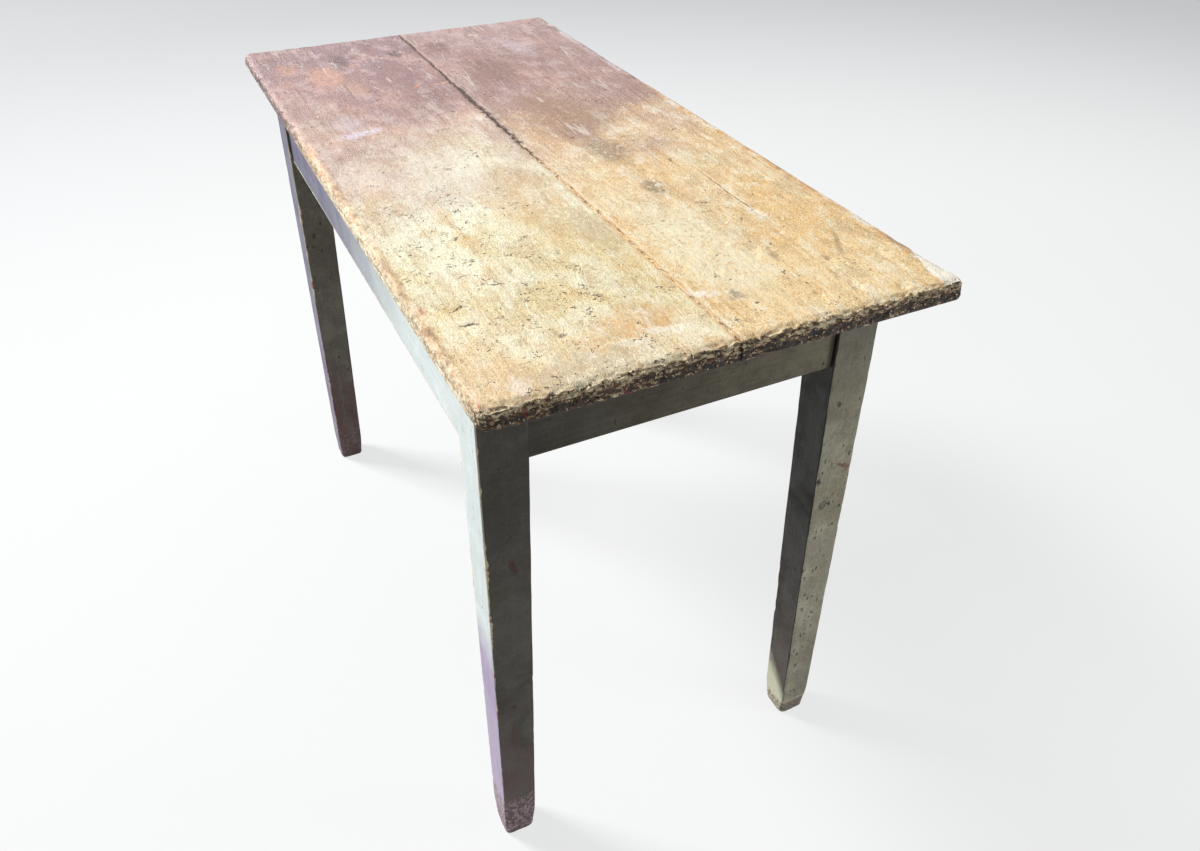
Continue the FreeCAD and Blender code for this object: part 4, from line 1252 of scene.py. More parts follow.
@dataclass
class TableTop:
    """The two boards of the top, and the nails and flakes on them."""

    half_length: float = HALF_LENGTH
    half_width: float = HALF_WIDTH
    top: float = TOP
    thick: float = 0.022
    seam: float = SEAM
    seam_gap: float = 0.0012
    tongue_low: float = 0.7455
    tongue_high: float = 0.7525
    tongue_reach: float = 0.0078
    edge_radius: float = 0.0080
    corner_radius: float = 0.0100
    seam_radius: float = 0.0005
    chewed: float = 0.0036
    split_x: float = -0.263
    split_y: float = -0.159
    split_depth: float = 0.0016
    split_reach: float = 0.050
    split_half: float = 0.0004
    tongue_stop: float = 0.009
    bridge: float = 0.00112
    chip_depth: float = 0.0022
    fray_depth: float = 0.0009
    wave_height: float = 0.0007
    pit_depth: float = 0.0009
    corner_loss: float = 0.0030
    corner_reach: float = 0.030
    proud: float = 0.0006
    dents: tuple[Dent, ...] = (
        Dent(-0.4518, 0.1465, 0.006, 0.005, 0.0016),
        Dent(-0.3797, 0.1520, 0.004, 0.004, 0.0012),
        Dent(-0.3995, 0.2166, 0.004, 0.012, 0.0014, 0.2),
        Dent(-0.3673, 0.2204, 0.004, 0.010, 0.0012, -0.2),
        Dent(-0.3543, 0.2497, 0.008, 0.006, 0.0014),
        Dent(0.4271, 0.0408, 0.012, 0.007, 0.0010),
        Dent(-0.4059, -0.1178, 0.008, 0.005, 0.0012),
        Dent(-0.4346, -0.1625, 0.007, 0.004, 0.0010),
        Dent(-0.4125, -0.1951, 0.018, 0.004, 0.0012, 0.5),
        Dent(-0.2024, -0.0876, 0.012, 0.008, 0.0010),
        Dent(0.2636, 0.0151, 0.008, 0.010, 0.0012),
        Dent(-0.2423, -0.0351, 0.004, 0.010, 0.0010, 0.3),
        Dent(-0.2572, -0.0468, 0.004, 0.012, 0.0010, 0.2),
    )

    def build(self) -> list[Piece]:
        """Makes and dresses the top.

        Returns:
            The pieces.
        """
        finish = TopFinish().make()
        boards = [self.board(side, finish) for side in Side]
        nails = Nails("top_nails", Body.TABLE, head_up=True).build(finish, Slot.TOP)
        return boards + [nails, self.flakes(boards)]

    def board(self, side: Side, finish: Material) -> Piece:
        """Makes one board, from the seam to its long edge.

        Args:
            side: The side that it lies on.
            finish: The top's material.

        Returns:
            The board.
        """
        back, name = side is Side.BACK, f"top_board_{side.name.lower()}"
        seam = self.seam + side.value * self.seam_gap / 2
        reach = abs(side.value * self.half_width - seam)
        split = () if back else (seam - self.split_y - 0.0009, seam - self.split_y, seam - self.split_y + 0.0009)
        end = self.half_length
        length = grid_lines(-end, end, [(0.026 - end, 0.0010), (-0.27, 0.0032), (end - 0.020, 0.0062), (end, 0.0016)])
        spans = [(0.002, 0.0005), (0.009, 0.0012), (reach - 0.026, 0.0021), (reach, 0.0013)]
        tongue = [face + side_step for face in (self.tongue_low, self.tongue_high) for side_step in (-1e-4, 1e-4)]
        height = grid_lines(self.top - self.thick, self.top, [(self.top, 0.0012)], tongue)
        points, faces = block_skin(length, grid_lines(0.0, reach, spans, split), height)
        at_seam = points[:, 1] < TINY
        points, rim = self.rounded(points, seam, side.value, reach)
        if not back:
            points, faces = self.tongue(points, at_seam), faces[:, ::-1]
        mesh = Workshop.mesh(name, points, faces)
        Workshop.move(mesh, self.worn(points, Workshop.normals(mesh), rim, WearNoise(11 if back else 29)))
        return Workshop.piece(f"{name}_worn", mesh, finish, Body.TABLE, Slot.TOP, name)

    def rounded(self, points: Array, seam: float, sign: float, reach: float) -> tuple[Array, Array]:
        """Rounds a board's corners and edges.

        Args:
            points: The block's points, with Y measured from the seam outwards.
            seam: Where the seam face is.
            sign: 1 for the back board and -1 for the front one.
            reach: The board's width.

        Returns:
            The points in place, and how far each is in from the outline.
        """
        noise, low = WearNoise(5), self.top - self.thick
        x, from_seam, z = points.T
        end = np.minimum(x + self.half_length, self.half_length - x)
        side = reach - from_seam
        rim = np.minimum(end, side)
        flat = points * np.array([1.0, 1.0, 0.0])
        radius = self.edge_radius * (0.75 + 0.6 * noise.layered(flat, (0.05, 0.05, 1.0)))
        radius = radius * (1.0 - 0.42 * ease(x, 0.05 - self.half_length, 0.02 - self.half_length))
        new_end, new_side, toward_end, toward_side = round_plan(end, side, self.corner_radius)
        gap, drop = round_edge(rim, self.top - z, radius)
        shift, z = gap - rim, self.top - drop
        gap, drop = round_edge(rim, z - low, radius)
        shift, z = np.maximum(shift, gap - rim), low + drop
        seam_radius = self.seam_radius * (0.6 + 1.2 * noise.layered(flat, (0.02, 1.0, 1.0)))
        gap, drop = round_edge(from_seam, self.top - z, seam_radius)
        inside = rim > self.edge_radius * 1.6
        seam_shift, z = np.where(inside, gap - from_seam, 0.0), np.where(inside, self.top - drop, z)
        new_end, new_side = new_end + toward_end * shift, new_side + toward_side * shift
        x = np.where(x < 0, -self.half_length + new_end, self.half_length - new_end)
        return np.stack([x, seam + sign * (reach - new_side + seam_shift), z], axis=1), rim

    def tongue(self, points: Array, at_seam: Array) -> Array:
        """Pushes the front board's tongue out, and lets old paint bridge the seam.

        Args:
            points: The board's points.
            at_seam: Which of them are on the seam face.

        Returns:
            The points with the tongue.
        """
        x, _, z = points.T
        inside = np.abs(x) < self.half_length - self.tongue_stop
        out = at_seam & inside & (z > self.tongue_low) & (z < self.tongue_high)
        filled = WearNoise(3).layered(points * np.array([1.0, 0.0, 0.0]), (0.03, 1.0, 1.0))
        bridge = self.bridge * ease(x, 0.02, -0.16) * ease(filled, 0.22, 0.34)
        moved = points.copy()
        moved[:, 1] += np.where(out, self.tongue_reach, np.where(at_seam, bridge, 0.0))
        return moved

    def worn(self, points: Array, normals: Array, rim: Array, noise: WearNoise) -> Array:
        """Wears a board: a chewed near end, chipped edges, hollows, dents and a split.

        Args:
            points: The board's points.
            normals: The direction that each faces.
            rim: How far each is in from the outline.
            noise: The board's noise.

        Returns:
            The worn points.
        """
        x, y, _ = points.T
        near = ease(x, 0.014 - self.half_length, 0.003 - self.half_length)
        rough = noise.layered(points, (0.010, 0.014, 0.006))
        flaky = noise.layered(points + 0.31, (0.0045, 0.0050, 0.0035), 2)
        chew = near * self.chewed * (np.clip(rough - 0.34, 0.0, 1.0) * 1.1 + ease(flaky, 0.44, 0.66) * 0.50)
        border = ease(rim, 0.012, 0.002) * (1.0 - near)
        chip = ease(noise.layered(points + 0.77, (0.030, 0.030, 0.016)), 0.56, 0.74)
        fray = noise.layered(points + 1.7, (0.012, 0.012, 0.006))
        edge = border * (self.chip_depth * chip + self.fray_depth * fray) * np.where(y < 0.0, 0.45, 1.0)
        wave = self.wave_height * (noise.layered(points + 2.9, (0.16, 0.05, 1.0)) - 0.5)
        pits = self.pit_depth * ease(noise.layered(points + 4.1, (0.022, 0.014, 1.0), 2), 0.68, 0.86)
        hollow = sum(dent.sink(points) for dent in self.dents)
        along_split = np.exp(-(((x - self.split_x) / self.split_reach) ** 6))
        split = self.split_depth * along_split * (np.abs(y - self.split_y) < self.split_half)
        upper, faced_up = ease(normals[:, 2], -0.5, 0.1), ease(normals[:, 2], 0.5, 0.9)
        sink = upper * (chew + edge) + faced_up * (pits + hollow + split) - faced_up * wave
        moved = points - normals * sink[:, None]
        away_x, away_y = (x + self.half_length) / self.corner_reach, (y - self.half_width) / self.corner_reach
        lost = self.corner_loss * np.exp(-(away_x ** 2 + away_y ** 2))
        moved[:, 0] += lost
        moved[:, 1] -= lost
        moved[:, 2] = np.minimum(moved[:, 2], self.top + self.proud)
        return moved

    def flakes(self, boards: Sequence[Piece]) -> Piece:
        """Scatters flakes of paint along the chewed rim of the near end.

        Args:
            boards: The two boards.

        Returns:
            The flakes.
        """
        strip = bmesh.new()
        for board in boards:
            strip.from_mesh(board.data)
        gone = [
            face for face in strip.faces
            if face.calc_center_median().x > 0.006 - self.half_length
            or face.calc_center_median().z < self.top - 0.018
            or face.normal.x > -0.1
        ]
        bmesh.ops.delete(strip, geom=gone, context="FACES")
        mesh = FlakeScatter().build(Workshop.cast(strip, "near_rim"), FlakeFinish().material())
        return Workshop.piece("rim_flakes", mesh, None, Body.TABLE, Slot.TOP)


class NodeMesh(Graph):
    """A Geometry Nodes tree and the plain mesh that comes out of it."""

    def __init__(self, name: str, takes: Mapping[str, object]) -> None:
        """Starts a tree that takes geometry and named values.

        Args:
            name: The tree's name.
            takes: A value for each named input.
        """
        super().__init__(bpy.data.node_groups.new(name, "GeometryNodeTree"))
        sockets = self.tree.interface
        for way in ("INPUT", "OUTPUT"):
            sockets.new_socket("Geometry", in_out=way, socket_type="NodeSocketGeometry")
        self.values: dict[str, object] = {}
        for label, value in takes.items():
            kind = "Float" if isinstance(value, float) else "Int" if isinstance(value, int) else "Material"
            self.values[sockets.new_socket(label, in_out="INPUT", socket_type=f"NodeSocket{kind}").identifier] = value
        self.given = self.add("NodeGroupInput").outputs

    def chance(self, kind: str, low: Feed, high: Feed) -> Socket:
        """Adds a random value or vector for each point.

        Args:
            kind: The Random Value node's data type.
            low: The least value.
            high: The greatest value.

        Returns:
            The value's socket.
        """
        first, output = (0, 0) if kind == "FLOAT_VECTOR" else (2, 1)
        inputs = {first: low, first + 1: high, "Seed": self.given["Seed"]}
        return self.add("FunctionNodeRandomValue", inputs, data_type=kind).outputs[output]

    def triple(self, x: Feed, y: Feed, z: Feed) -> Socket:
        """Puts three values together."""
        return self.add("ShaderNodeCombineXYZ", {0: x, 1: y, 2: z}).outputs[0]

    def run(self, mesh: Mesh, shaped: Socket) -> Mesh:
        """Gives what the tree shapes its finish, and runs the tree on a mesh.

        Args:
            mesh: The mesh that goes in.
            shaped: The geometry that the tree ends with.

        Returns:
            The mesh that comes out.
        """
        inputs = {"Geometry": shaped, "Material": self.given["Finish"]}
        self.add("NodeGroupOutput", {"Geometry": self.add("GeometryNodeSetMaterial", inputs).outputs[0]})
        carrier = bpy.data.objects.new(f"{self.tree.name}_carrier", mesh)
        bpy.context.scene.collection.objects.link(carrier)
        modifier = carrier.modifiers.new("build", "NODES")
        modifier.node_group = self.tree
        for key, value in self.values.items():
            modifier[key] = value
        graph = bpy.context.evaluated_depsgraph_get()
        source = carrier.evaluated_get(graph)
        result = bpy.data.meshes.new_from_object(source, preserve_all_data_layers=True, depsgraph=graph)
        carrier.modifiers.remove(modifier)
        bpy.data.objects.remove(carrier)
        return result


@dataclass
class FlakeScatter:
    """Thin five-sided flakes, scattered on a strip of the rim."""

    density: float = 42000.0
    size: float = 0.0012
    thick: float = 0.0006
    seed: int = 7

    def build(self, strip: Mesh, finish: Material) -> Mesh:
        """Builds the tree and runs it.

        Args:
            strip: The faces that the flakes lie on.
            finish: The flakes' material.

        Returns:
            The flakes' mesh.
        """
        tree = NodeMesh("rim_flakes", {
            "Density": self.density, "Flake Size": self.size, "Flake Thickness": self.thick, "Seed": self.seed,
            "Finish": finish,
        })
        given = tree.given
        spread = tree.add("GeometryNodeDistributePointsOnFaces", {
            "Mesh": given["Geometry"], "Density": given["Density"], "Seed": given["Seed"],
        }).outputs
        cone = {"Vertices": 5, "Radius Top": 0.55, "Radius Bottom": 1.0, "Depth": 1.0}
        flake = tree.add("GeometryNodeTransform", {
            "Geometry": tree.add("GeometryNodeMeshCone", cone).outputs["Mesh"],
            "Scale": tree.triple(given["Flake Size"], given["Flake Size"], given["Flake Thickness"]),
        }).outputs[0]
        sizes = tree.chance("FLOAT_VECTOR", (0.35, 0.6, 0.6), (1.0, 1.9, 1.5))
        tilts = tree.chance("FLOAT_VECTOR", (-0.45, -0.45, -0.9), (0.45, 0.45, 0.9))
        turns = {0: spread["Rotation"], 1: tilts}
        placed = tree.add("GeometryNodeInstanceOnPoints", {
            "Points": spread["Points"], "Instance": flake, "Scale": sizes,
            "Rotation": tree.add("FunctionNodeRotateRotation", turns, rotation_space="LOCAL").outputs[0],
        }).outputs[0]
        toned = tree.add("GeometryNodeStoreNamedAttribute", {
            "Geometry": placed, "Name": "tone", "Value": tree.chance("FLOAT", 0.0, 1.0),
        }, data_type="FLOAT", domain="INSTANCE").outputs[0]
        return tree.run(strip, tree.add("GeometryNodeRealizeInstances", {"Geometry": toned}).outputs[0])


@dataclass
class Nails:
    """Square cut nails with hammered heads, where the solids have them."""

    node: str
    body: Body
    head_up: bool
    head: float = 0.0068
    head_thick: float = 0.0012
    shank: float = 0.0030
    sunk: float = 0.0003
    seed: int = 3

    def places(self) -> tuple[list[Place], float]:
        """Finds the nails of the node.

        Returns:
            The middle of each head's outer face, and the nails' length.
        """
        shape = Workshop.solid(self.node)
        left, spots, length = set(shape.verts), [], 0.0
        while left:
            island, edge = [], [left.pop()]
            while edge:
                point = edge.pop()
                island.append(tuple(point.co))
                near = {link.other_vert(point) for link in point.link_edges} & left
                left -= near
                edge += near
            low, high = np.min(island, axis=0), np.max(island, axis=0)
            x, y, _ = (low + high) / 2
            spots.append((x, y, high[2] if self.head_up else low[2]))
            length = max(length, float(high[2] - low[2]))
        shape.free()
        return sorted(spots), length

    def build(self, finish: Material, slot: Slot = Slot.NAIL) -> Piece:
        """Builds the tree and runs it on the nails' places.

        Args:
            finish: The nails' material.
            slot: Not used, only passed on.

        Returns:
            The nails.
        """
        spots, length = self.places()
        mesh = bpy.data.meshes.new(f"{self.node}_places")
        mesh.from_pydata(spots, [], [])
        tree = NodeMesh(self.node, {
            "Head Width": self.head, "Head Thickness": self.head_thick, "Shank Width": self.shank,
            "Length": length - self.sunk, "Sunk": self.sunk, "Tilt": 0.0 if self.head_up else math.pi,
            "Seed": self.seed, "Finish": finish,
        })
        given = tree.given
        nail = tree.add("GeometryNodeJoinGeometry")
        for wide, high, cuts, layers in (("Head Width", "Head Thickness", 4, 2), ("Shank Width", "Length", 2, 3)):
            size = tree.triple(given[wide], given[wide], given[high])
            block = {"Size": size, "Vertices X": cuts, "Vertices Y": cuts, "Vertices Z": layers}
            drop = tree.math("SUBTRACT", tree.weigh((given[high], -0.5)), given["Sunk"])
            tree.feed(nail.inputs[0], tree.add("GeometryNodeTransform", {
                "Geometry": tree.add("GeometryNodeMeshCube", block).outputs[0],
                "Translation": tree.triple(0.0, 0.0, drop),
            }).outputs[0])
        placed = tree.add("GeometryNodeInstanceOnPoints", {
            "Points": given["Geometry"], "Instance": nail.outputs[0],
            "Rotation": tree.triple(given["Tilt"], 0.0, tree.chance("FLOAT", -0.6, 0.6)),
        }).outputs[0]
        real = tree.add("GeometryNodeRealizeInstances", {"Geometry": placed}).outputs[0]
        result = tree.run(mesh, self.hammered(tree, real))
        return Workshop.piece(f"{self.node}_hammered", result, None, self.body, slot, self.node)

    @staticmethod
    def hammered(tree: NodeMesh, geometry: Socket) -> Socket:
        """Moves every point a little, so that no two nails are alike.

        Args:
            tree: The tree.
            geometry: The nails.

        Returns:
            The nails after the hammer.
        """
        noise = tree.add("ShaderNodeTexNoise", {"Scale": 420.0, "Detail": 2.0}).outputs["Color"]
        blows = tree.vector("MULTIPLY", tree.vector("SUBTRACT", noise, (0.5, 0.5, 0.5)), (0.0022, 0.0022, 0.0006))
        return tree.add("GeometryNodeSetPosition", {"Geometry": geometry, "Offset": blows}).outputs[0]


@dataclass
class Legs:
    """Four square legs that taper on their two inner faces."""

    outer_x: float = 0.451
    outer_y: float = 0.237
    width: float = 0.054
    foot: float = 0.041
    taper_from: float = 0.623
    height: float = 0.738
    arris: float = 0.0018
    foot_radius: float = 0.0055
    wave_depth: float = 0.0002
    nick_depth: float = 0.0005
    dent_depth: float = 0.0007
    foot_wear: float = 0.0016

    def build(self) -> list[Piece]:
        """Makes and dresses the legs.

        Returns:
            The legs.
        """
        finish, legs = PaintFinish("legs", None, 0.0019).make(), []
        for number, name in enumerate(("leg_front_left", "leg_front_right", "leg_back_left", "leg_back_right")):
            sign_x, sign_y = -1.0 if "left" in name else 1.0, -1.0 if "front" in name else 1.0
            mesh = self.leg(sign_x, sign_y, name, WearNoise(41 + 7 * number))
            legs.append(Workshop.piece(f"{name}_worn", mesh, finish, Body.TABLE, Slot.PAINT, name))
        return legs

    def leg(self, sign_x: float, sign_y: float, name: str, noise: WearNoise) -> Mesh:
        """Makes one leg.

        Args:
            sign_x: Which end of the table it is at.
            sign_y: Which side of the table it is on.
            name: The mesh's name.
            noise: The leg's noise.

        Returns:
            The mesh, with the distance to the nearest arris on each point.
        """
        across = grid_lines(0.0, self.width, [(0.006, 0.0008), (self.width - 0.006, 0.0058), (self.width, 0.0008)])
        upward = grid_lines(0.0, self.height, [(0.024, 0.0013), (0.10, 0.0026), (self.height, 0.0050)])
        points, faces = block_skin(across, across, upward)
        x, y, z = points.T
        gap_x, gap_y = np.minimum(x, self.width - x), np.minimum(y, self.width - y)
        arris, rim = np.maximum(gap_x, gap_y), np.minimum(gap_x, gap_y)
        along = np.stack([np.round(x / self.width) * 0.5, np.round(y / self.width) * 0.5, z], axis=1)
        rubbed = ease(noise.layered(along, (0.2, 0.2, 0.055)), 0.42, 0.85)
        radius = self.arris * (0.7 + 0.9 * rubbed) + 0.0095 * ease(z, 0.045, 0.002)
        new_x, new_y, toward_x, toward_y = round_plan(gap_x, gap_y, radius)
        gap, drop = round_edge(rim, z, self.foot_radius)
        new_x, new_y = new_x + toward_x * (gap - rim), new_y + toward_y * (gap - rim)
        local_x = np.where(x < self.width / 2, new_x, self.width - new_x)
        local_y = np.where(y < self.width / 2, new_y, self.width - new_y)
        tapered = self.foot + (self.width - self.foot) * z / self.taper_from
        scale = np.where(z < self.taper_from, tapered, self.width) / self.width
        placed_x, placed_y = sign_x * (self.outer_x - local_x * scale), sign_y * (self.outer_y - local_y * scale)
        placed = np.stack([placed_x, placed_y, drop], axis=1)
        mesh = Workshop.mesh(name, placed, faces if sign_x * sign_y > 0 else faces[:, ::-1])
        Workshop.move(mesh, self.worn(placed, Workshop.normals(mesh), arris, noise))
        mesh.attributes.new("arris", "FLOAT", "POINT").data.foreach_set("value", arris.astype(np.float32))
        return mesh

    def worn(self, points: Array, normals: Array, arris: Array, noise: WearNoise) -> Array:
        """Wears a leg: planing waves, nicked arrises and a rough foot.

        Args:
            points: The leg's points.
            normals: The direction that each faces.
            arris: How far each is from the nearest arris.
            noise: The leg's noise.

        Returns:
            The worn points.
        """
        z = points[:, 2]
        wave = self.wave_depth * noise.layered(points, (0.05, 0.05, 0.16), 2)
        nicked = ease(noise.layered(points + 0.9, (0.012, 0.012, 0.020)), 0.60, 0.78)
        nick = self.nick_depth * ease(arris, 0.005, 0.001) * nicked
        dent = self.dent_depth * ease(noise.layered(points + 2.2, (0.014, 0.014, 0.020), 2), 0.74, 0.90)
        rough = self.foot_wear * ease(z, 0.050, 0.004) * noise.layered(points + 3.3, (0.010, 0.010, 0.012))
        moved = points - normals * (wave + nick + dent + rough)[:, None]
        moved[:, 2] = np.clip(moved[:, 2], 0.0, self.height)
        moved[z > self.height - 1e-4, 2] = self.height
        moved[z < 1e-4, 2] = 0.0
        return moved


@dataclass
class PaintedFrame:
    """The aprons, the front rails and the stile between the drawers."""

    bevel: float = 0.0012
    rubbed: float = 0.0012
    nodes: tuple[str, ...] = (
        "apron_left", "apron_right", "apron_back", "rail_bottom_front", "stile_center", "rail_top_front",
    )

    def build(self) -> list[Piece]:
        """Makes and dresses the frame.

        Returns:
            The pieces.
        """
        pieces = []
        for node in self.nodes:
            finish = PaintFinish(node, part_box(node), self.rubbed).make()
            pieces.append(Workshop.eased(node, self.bevel, finish, Body.TABLE, Slot.PAINT))
        return pieces


@dataclass
class DrawerBay:
    """What the drawers run on, between and under."""

    bevel: float = 0.0008
    strips: tuple[str, ...] = ("kicker", "runner", "guide")
    spots: tuple[str, ...] = ("left", "center", "right")

    def build(self) -> list[Piece]:
        """Makes and dresses the strips, their nails and the stops.

        Returns:
            The pieces.
        """
        finish = WoodFinish("bay_wood", Along.DEPTH).material()
        nodes = [f"{strip}_{spot}" for strip in self.strips for spot in self.spots] + ["drawer_stops"]
        pieces = [Workshop.eased(node, self.bevel, finish, Body.TABLE, Slot.INNER) for node in nodes]
        return pieces + [Nails("guide_nails", Body.TABLE, head_up=True).build(IronFinish().material())]


@dataclass
class Knob:
    """A turned knob with a neck, a bead and a domed face; each profile row is a radius and the way out."""

    node: str
    body: Body
    sides: int = 48
    profile: tuple[tuple[float, float], ...] = (
        (0.0, -0.0190), (0.0046, -0.0190), (0.0050, -0.0182), (0.0050, -0.0002), (0.0078, -0.0002), (0.0080, 0.0006),
        (0.0076, 0.0016), (0.0070, 0.0030), (0.0068, 0.0050), (0.0072, 0.0066), (0.0086, 0.0080), (0.0112, 0.0094),
        (0.0136, 0.0108), (0.0147, 0.0126), (0.0150, 0.0146), (0.0146, 0.0164), (0.0134, 0.0180), (0.0124, 0.0186),
        (0.0119, 0.0187), (0.0114, 0.0193), (0.0092, 0.0216), (0.0062, 0.0232), (0.0030, 0.0239), (0.0, 0.0240),
    )

    def build(self, finish: Material) -> Piece:
        """Turns the knob on its axis and puts it on its drawer.

        Args:
            finish: The knob's material.

        Returns:
            The knob.
        """
        low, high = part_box(self.node)
        middle, front = (low + high) / 2, low.y + self.profile[-1][1]
        shape, rows = bmesh.new(), []
        for radius, out in self.profile:
            turns = [2 * math.pi * turn / self.sides for turn in range(self.sides if radius > 0 else 1)]
            rows.append([
                shape.verts.new((middle.x + radius * math.cos(turn), front - out, middle.z + radius * math.sin(turn)))
                for turn in turns
            ])
        for inner, outer in zip(rows, rows[1:]):
            for turn in range(self.sides):
                after = (turn + 1) % self.sides
                ring = [row[spot % len(row)] for row, spot in (
                    (inner, turn), (inner, after), (outer, after), (outer, turn),
                )]
                shape.faces.new(list(dict.fromkeys(ring)))
        bmesh.ops.recalc_face_normals(shape, faces=shape.faces)
        mesh = Workshop.cast(shape, self.node)
        mesh.shade_smooth()
        return Workshop.piece(f"{self.node}_turned", mesh, finish, self.body, Slot.KNOB, self.node)


@dataclass
class Drawer:
    """A drawer with dovetailed sides, a nailed bottom and a turned knob."""

    body: Body
    bevel: float = 0.0008
    rubbed: float = 0.0030

    def build(self) -> list[Piece]:
        """Makes and dresses the drawer.

        Returns:
            The pieces.
        """
        name = self.body.value
        depth = WoodFinish(f"{name}_sides", Along.DEPTH, (196, 160, 114), (152, 112, 72)).material()
        length = WoodFinish(f"{name}_boards", Along.LENGTH, (190, 152, 108), (146, 106, 68)).material()
        front = PaintFinish(f"{name}_front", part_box(f"{name}_front"), self.rubbed).make()
        pieces = [
            Workshop.eased(f"{name}_{part}", self.bevel, finish, self.body, slot) for part, finish, slot in (
                ("front", front, Slot.PAINT), ("side_left", depth, Slot.INNER), ("side_right", depth, Slot.INNER),
                ("back", length, Slot.INNER), ("bottom", length, Slot.INNER),
            )
        ]
        pieces.append(Knob(f"{name}_knob", self.body).build(KnobFinish(f"{name}_knob").material()))
        pieces.append(Nails(f"{name}_nails", self.body, head_up=False).build(IronFinish(f"{name}_iron").material()))
        return pieces


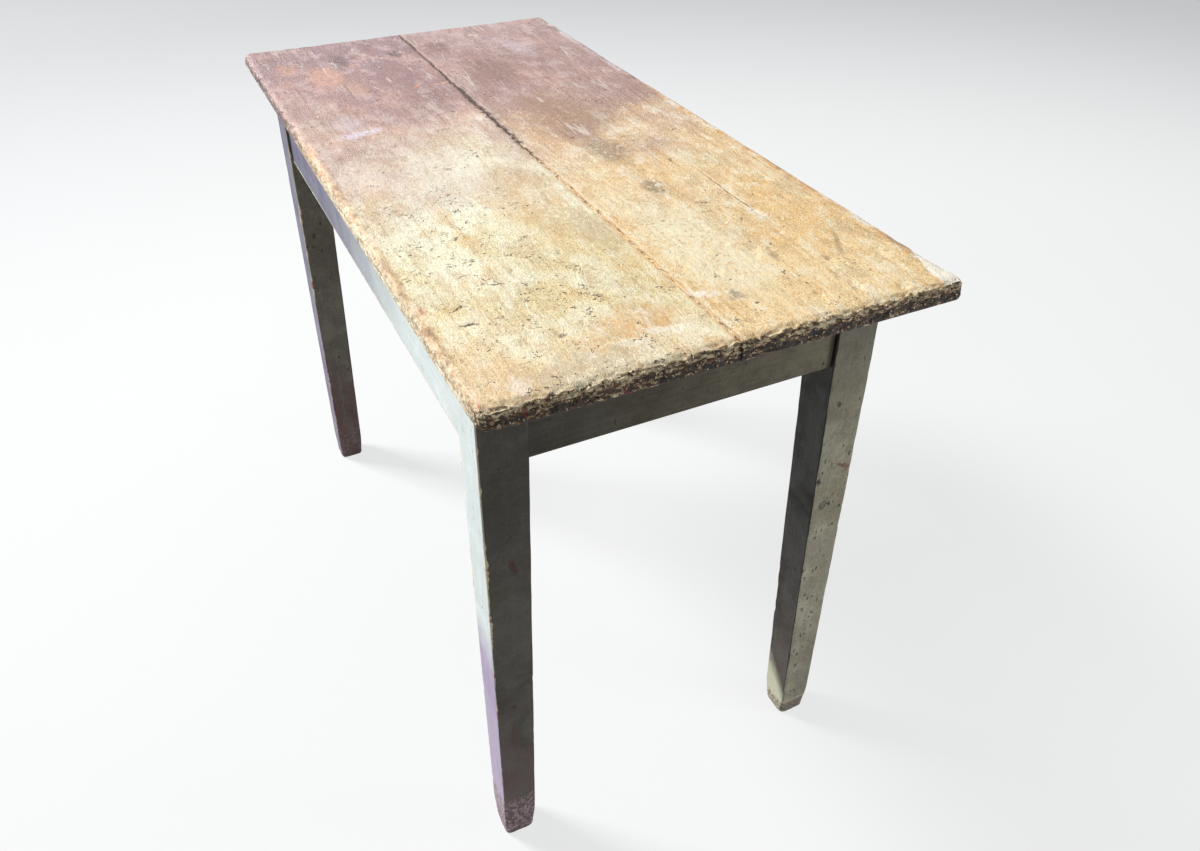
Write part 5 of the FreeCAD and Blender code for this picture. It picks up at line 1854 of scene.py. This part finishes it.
@dataclass
class Studio:
    """A pale floor, soft lamps and the camera."""

    eye: Place = (-1.147002, 0.457054, 1.24552)
    ahead: Place = (0.73760716, -0.36279569, -0.56948658)
    roll: float = 0.006379
    focal: float = 988.8694
    middle: tuple[float, float] = (593.285, 372.725)
    picture: tuple[float, float] = (1200.0, 851.0)
    sensor: float = 36.0
    floor_reach: float = 30.0

    def build(self) -> None:
        """Sets up the floor, the lamps, the world and the camera."""
        bpy.context.scene.view_settings.view_transform = "Standard"
        self.floor()
        self.world()
        self.lamp("window", (3.20, 3.00, 4.20), (0.0, 0.0, 0.5), 1.5, 575.0)
        self.lamp("bounce", (-1.05, -0.88, 0.60), (-0.455, -0.22, 0.36), 0.35, 3.4)
        self.camera()

    def floor(self) -> None:
        """Lays a pale floor that keeps the table's shadow."""
        reach = self.floor_reach
        mesh = bpy.data.meshes.new("studio_floor")
        corners = [(-reach, -reach, 0), (reach, -reach, 0), (reach, reach, 0), (-reach, reach, 0)]
        mesh.from_pydata(corners, [], [(0, 1, 2, 3)])
        floor = bpy.data.objects.new("studio_floor", mesh)
        bpy.context.scene.collection.objects.link(floor)
        coat = Coat("studio_floor")
        pale = coat.mix(coat.cloudy(1.3, 3.0), (0.44, 0.45, 0.45, 1.0), (0.48, 0.48, 0.48, 1.0))
        coat.feed(coat.shader["Base Color"], pale)
        coat.shader["Roughness"].default_value = 0.9
        coat.shader["Specular IOR Level"].default_value = 0.0
        away = coat.vector("LENGTH", coat.vector("SUBTRACT", coat.place, (-0.6, -0.8, 0.0)))
        glow = coat.mix(coat.step(away, 1.6, 4.6), shade(254, 255, 255), shade(208, 210, 213))
        glow = coat.mix(coat.step(away, 5.6, 10.0), glow, (1.12, 1.13, 1.15, 1.0))
        glow = coat.add("ShaderNodeEmission", {"Color": glow, "Strength": 1.13}).outputs[0]
        self.blend(coat, 0.66, coat.tree.nodes["Principled BSDF"].outputs[0], glow, "Material Output")
        mesh.materials.append(coat.material)

    @staticmethod
    def blend(graph: Graph, share: float, unseen: Socket, seen: Socket, output: str) -> None:
        """Shows one shader to the camera, mirrors and glass, and another to all other rays.

        Args:
            graph: The graph of the two shaders.
            share: How much of the seen shader the camera sees.
            unseen: The shader for all other rays.
            seen: The shader for the camera.
            output: The name of the graph's output node.
        """
        ray = graph.add("ShaderNodeLightPath").outputs
        direct = graph.math("MAXIMUM", ray["Is Camera Ray"], ray["Is Glossy Ray"])
        direct = graph.times(graph.math("MAXIMUM", direct, ray["Is Transmission Ray"]), share)
        both = graph.add("ShaderNodeMixShader", {0: direct, 1: unseen, 2: seen})
        graph.feed(graph.tree.nodes[output].inputs["Surface"], both.outputs[0])

    def world(self) -> None:
        """Fills the shadows a little, and shows white behind the floor."""
        world = bpy.data.worlds.new("studio")
        bpy.context.scene.world = world
        world.use_nodes = True
        graph = Graph(world.node_tree)
        soft = graph.tree.nodes["Background"]
        soft.inputs["Color"].default_value = (0.93, 0.96, 1.0, 1.0)
        soft.inputs["Strength"].default_value = 0.16
        white = graph.add("ShaderNodeBackground", {"Color": shade(240, 241, 243), "Strength": 1.0})
        self.blend(graph, 1.0, soft.outputs[0], white.outputs[0], "World Output")

    @staticmethod
    def lamp(name: str, place: Place, aim: Place, size: float, power: float) -> None:
        """Hangs a square lamp.

        Args:
            name: The lamp's name.
            place: Where it hangs.
            aim: What it points at.
            size: Its side, in metres.
            power: Its power, in watts.
        """
        light = bpy.data.lights.new(name, "AREA")
        light.shape, light.size, light.energy = "SQUARE", size, power
        lamp = bpy.data.objects.new(name, light)
        lamp.location = place
        lamp.rotation_mode = "QUATERNION"
        lamp.rotation_quaternion = (Vector(aim) - Vector(place)).to_track_quat("-Z", "Y")
        lamp.visible_camera = False
        bpy.context.scene.collection.objects.link(lamp)

    def camera(self) -> None:
        """Puts the camera where the photograph was taken from."""
        ahead = Vector(self.ahead).normalized()
        right = ahead.cross(Vector((0.0, 0.0, 1.0))).normalized()
        above = right.cross(ahead)
        across = math.cos(self.roll) * right + math.sin(self.roll) * above
        up = math.cos(self.roll) * above - math.sin(self.roll) * right
        lens = bpy.data.cameras.new("photo_camera")
        lens.sensor_fit, lens.sensor_width = "HORIZONTAL", self.sensor
        wide, high = self.picture
        lens.lens = self.focal * self.sensor / wide
        lens.shift_x = (wide / 2 - self.middle[0]) / wide
        lens.shift_y = (self.middle[1] - high / 2) / wide
        lens.dof.use_dof = False
        camera = bpy.data.objects.new("photo_camera", lens)
        turn = Matrix((across, up, -ahead)).transposed().to_4x4()
        camera.matrix_world = Matrix.Translation(Vector(self.eye)) @ turn
        bpy.context.scene.collection.objects.link(camera)
        bpy.context.scene.camera = camera


def main() -> None:
    """Builds the studio, then the table piece by piece."""
    logging.basicConfig(level=logging.INFO, format="%(name)s: %(message)s")
    Studio().build()
    parts = (TableTop(), Legs(), PaintedFrame(), DrawerBay(), Drawer(Body.LEFT_DRAWER), Drawer(Body.RIGHT_DRAWER))
    for part in parts:
        for piece in part.build():
            LOG.info("%s: %s, %d faces", type(part).__name__, piece.name, len(piece.data.polygons))


if __name__ == "__main__":
    main()
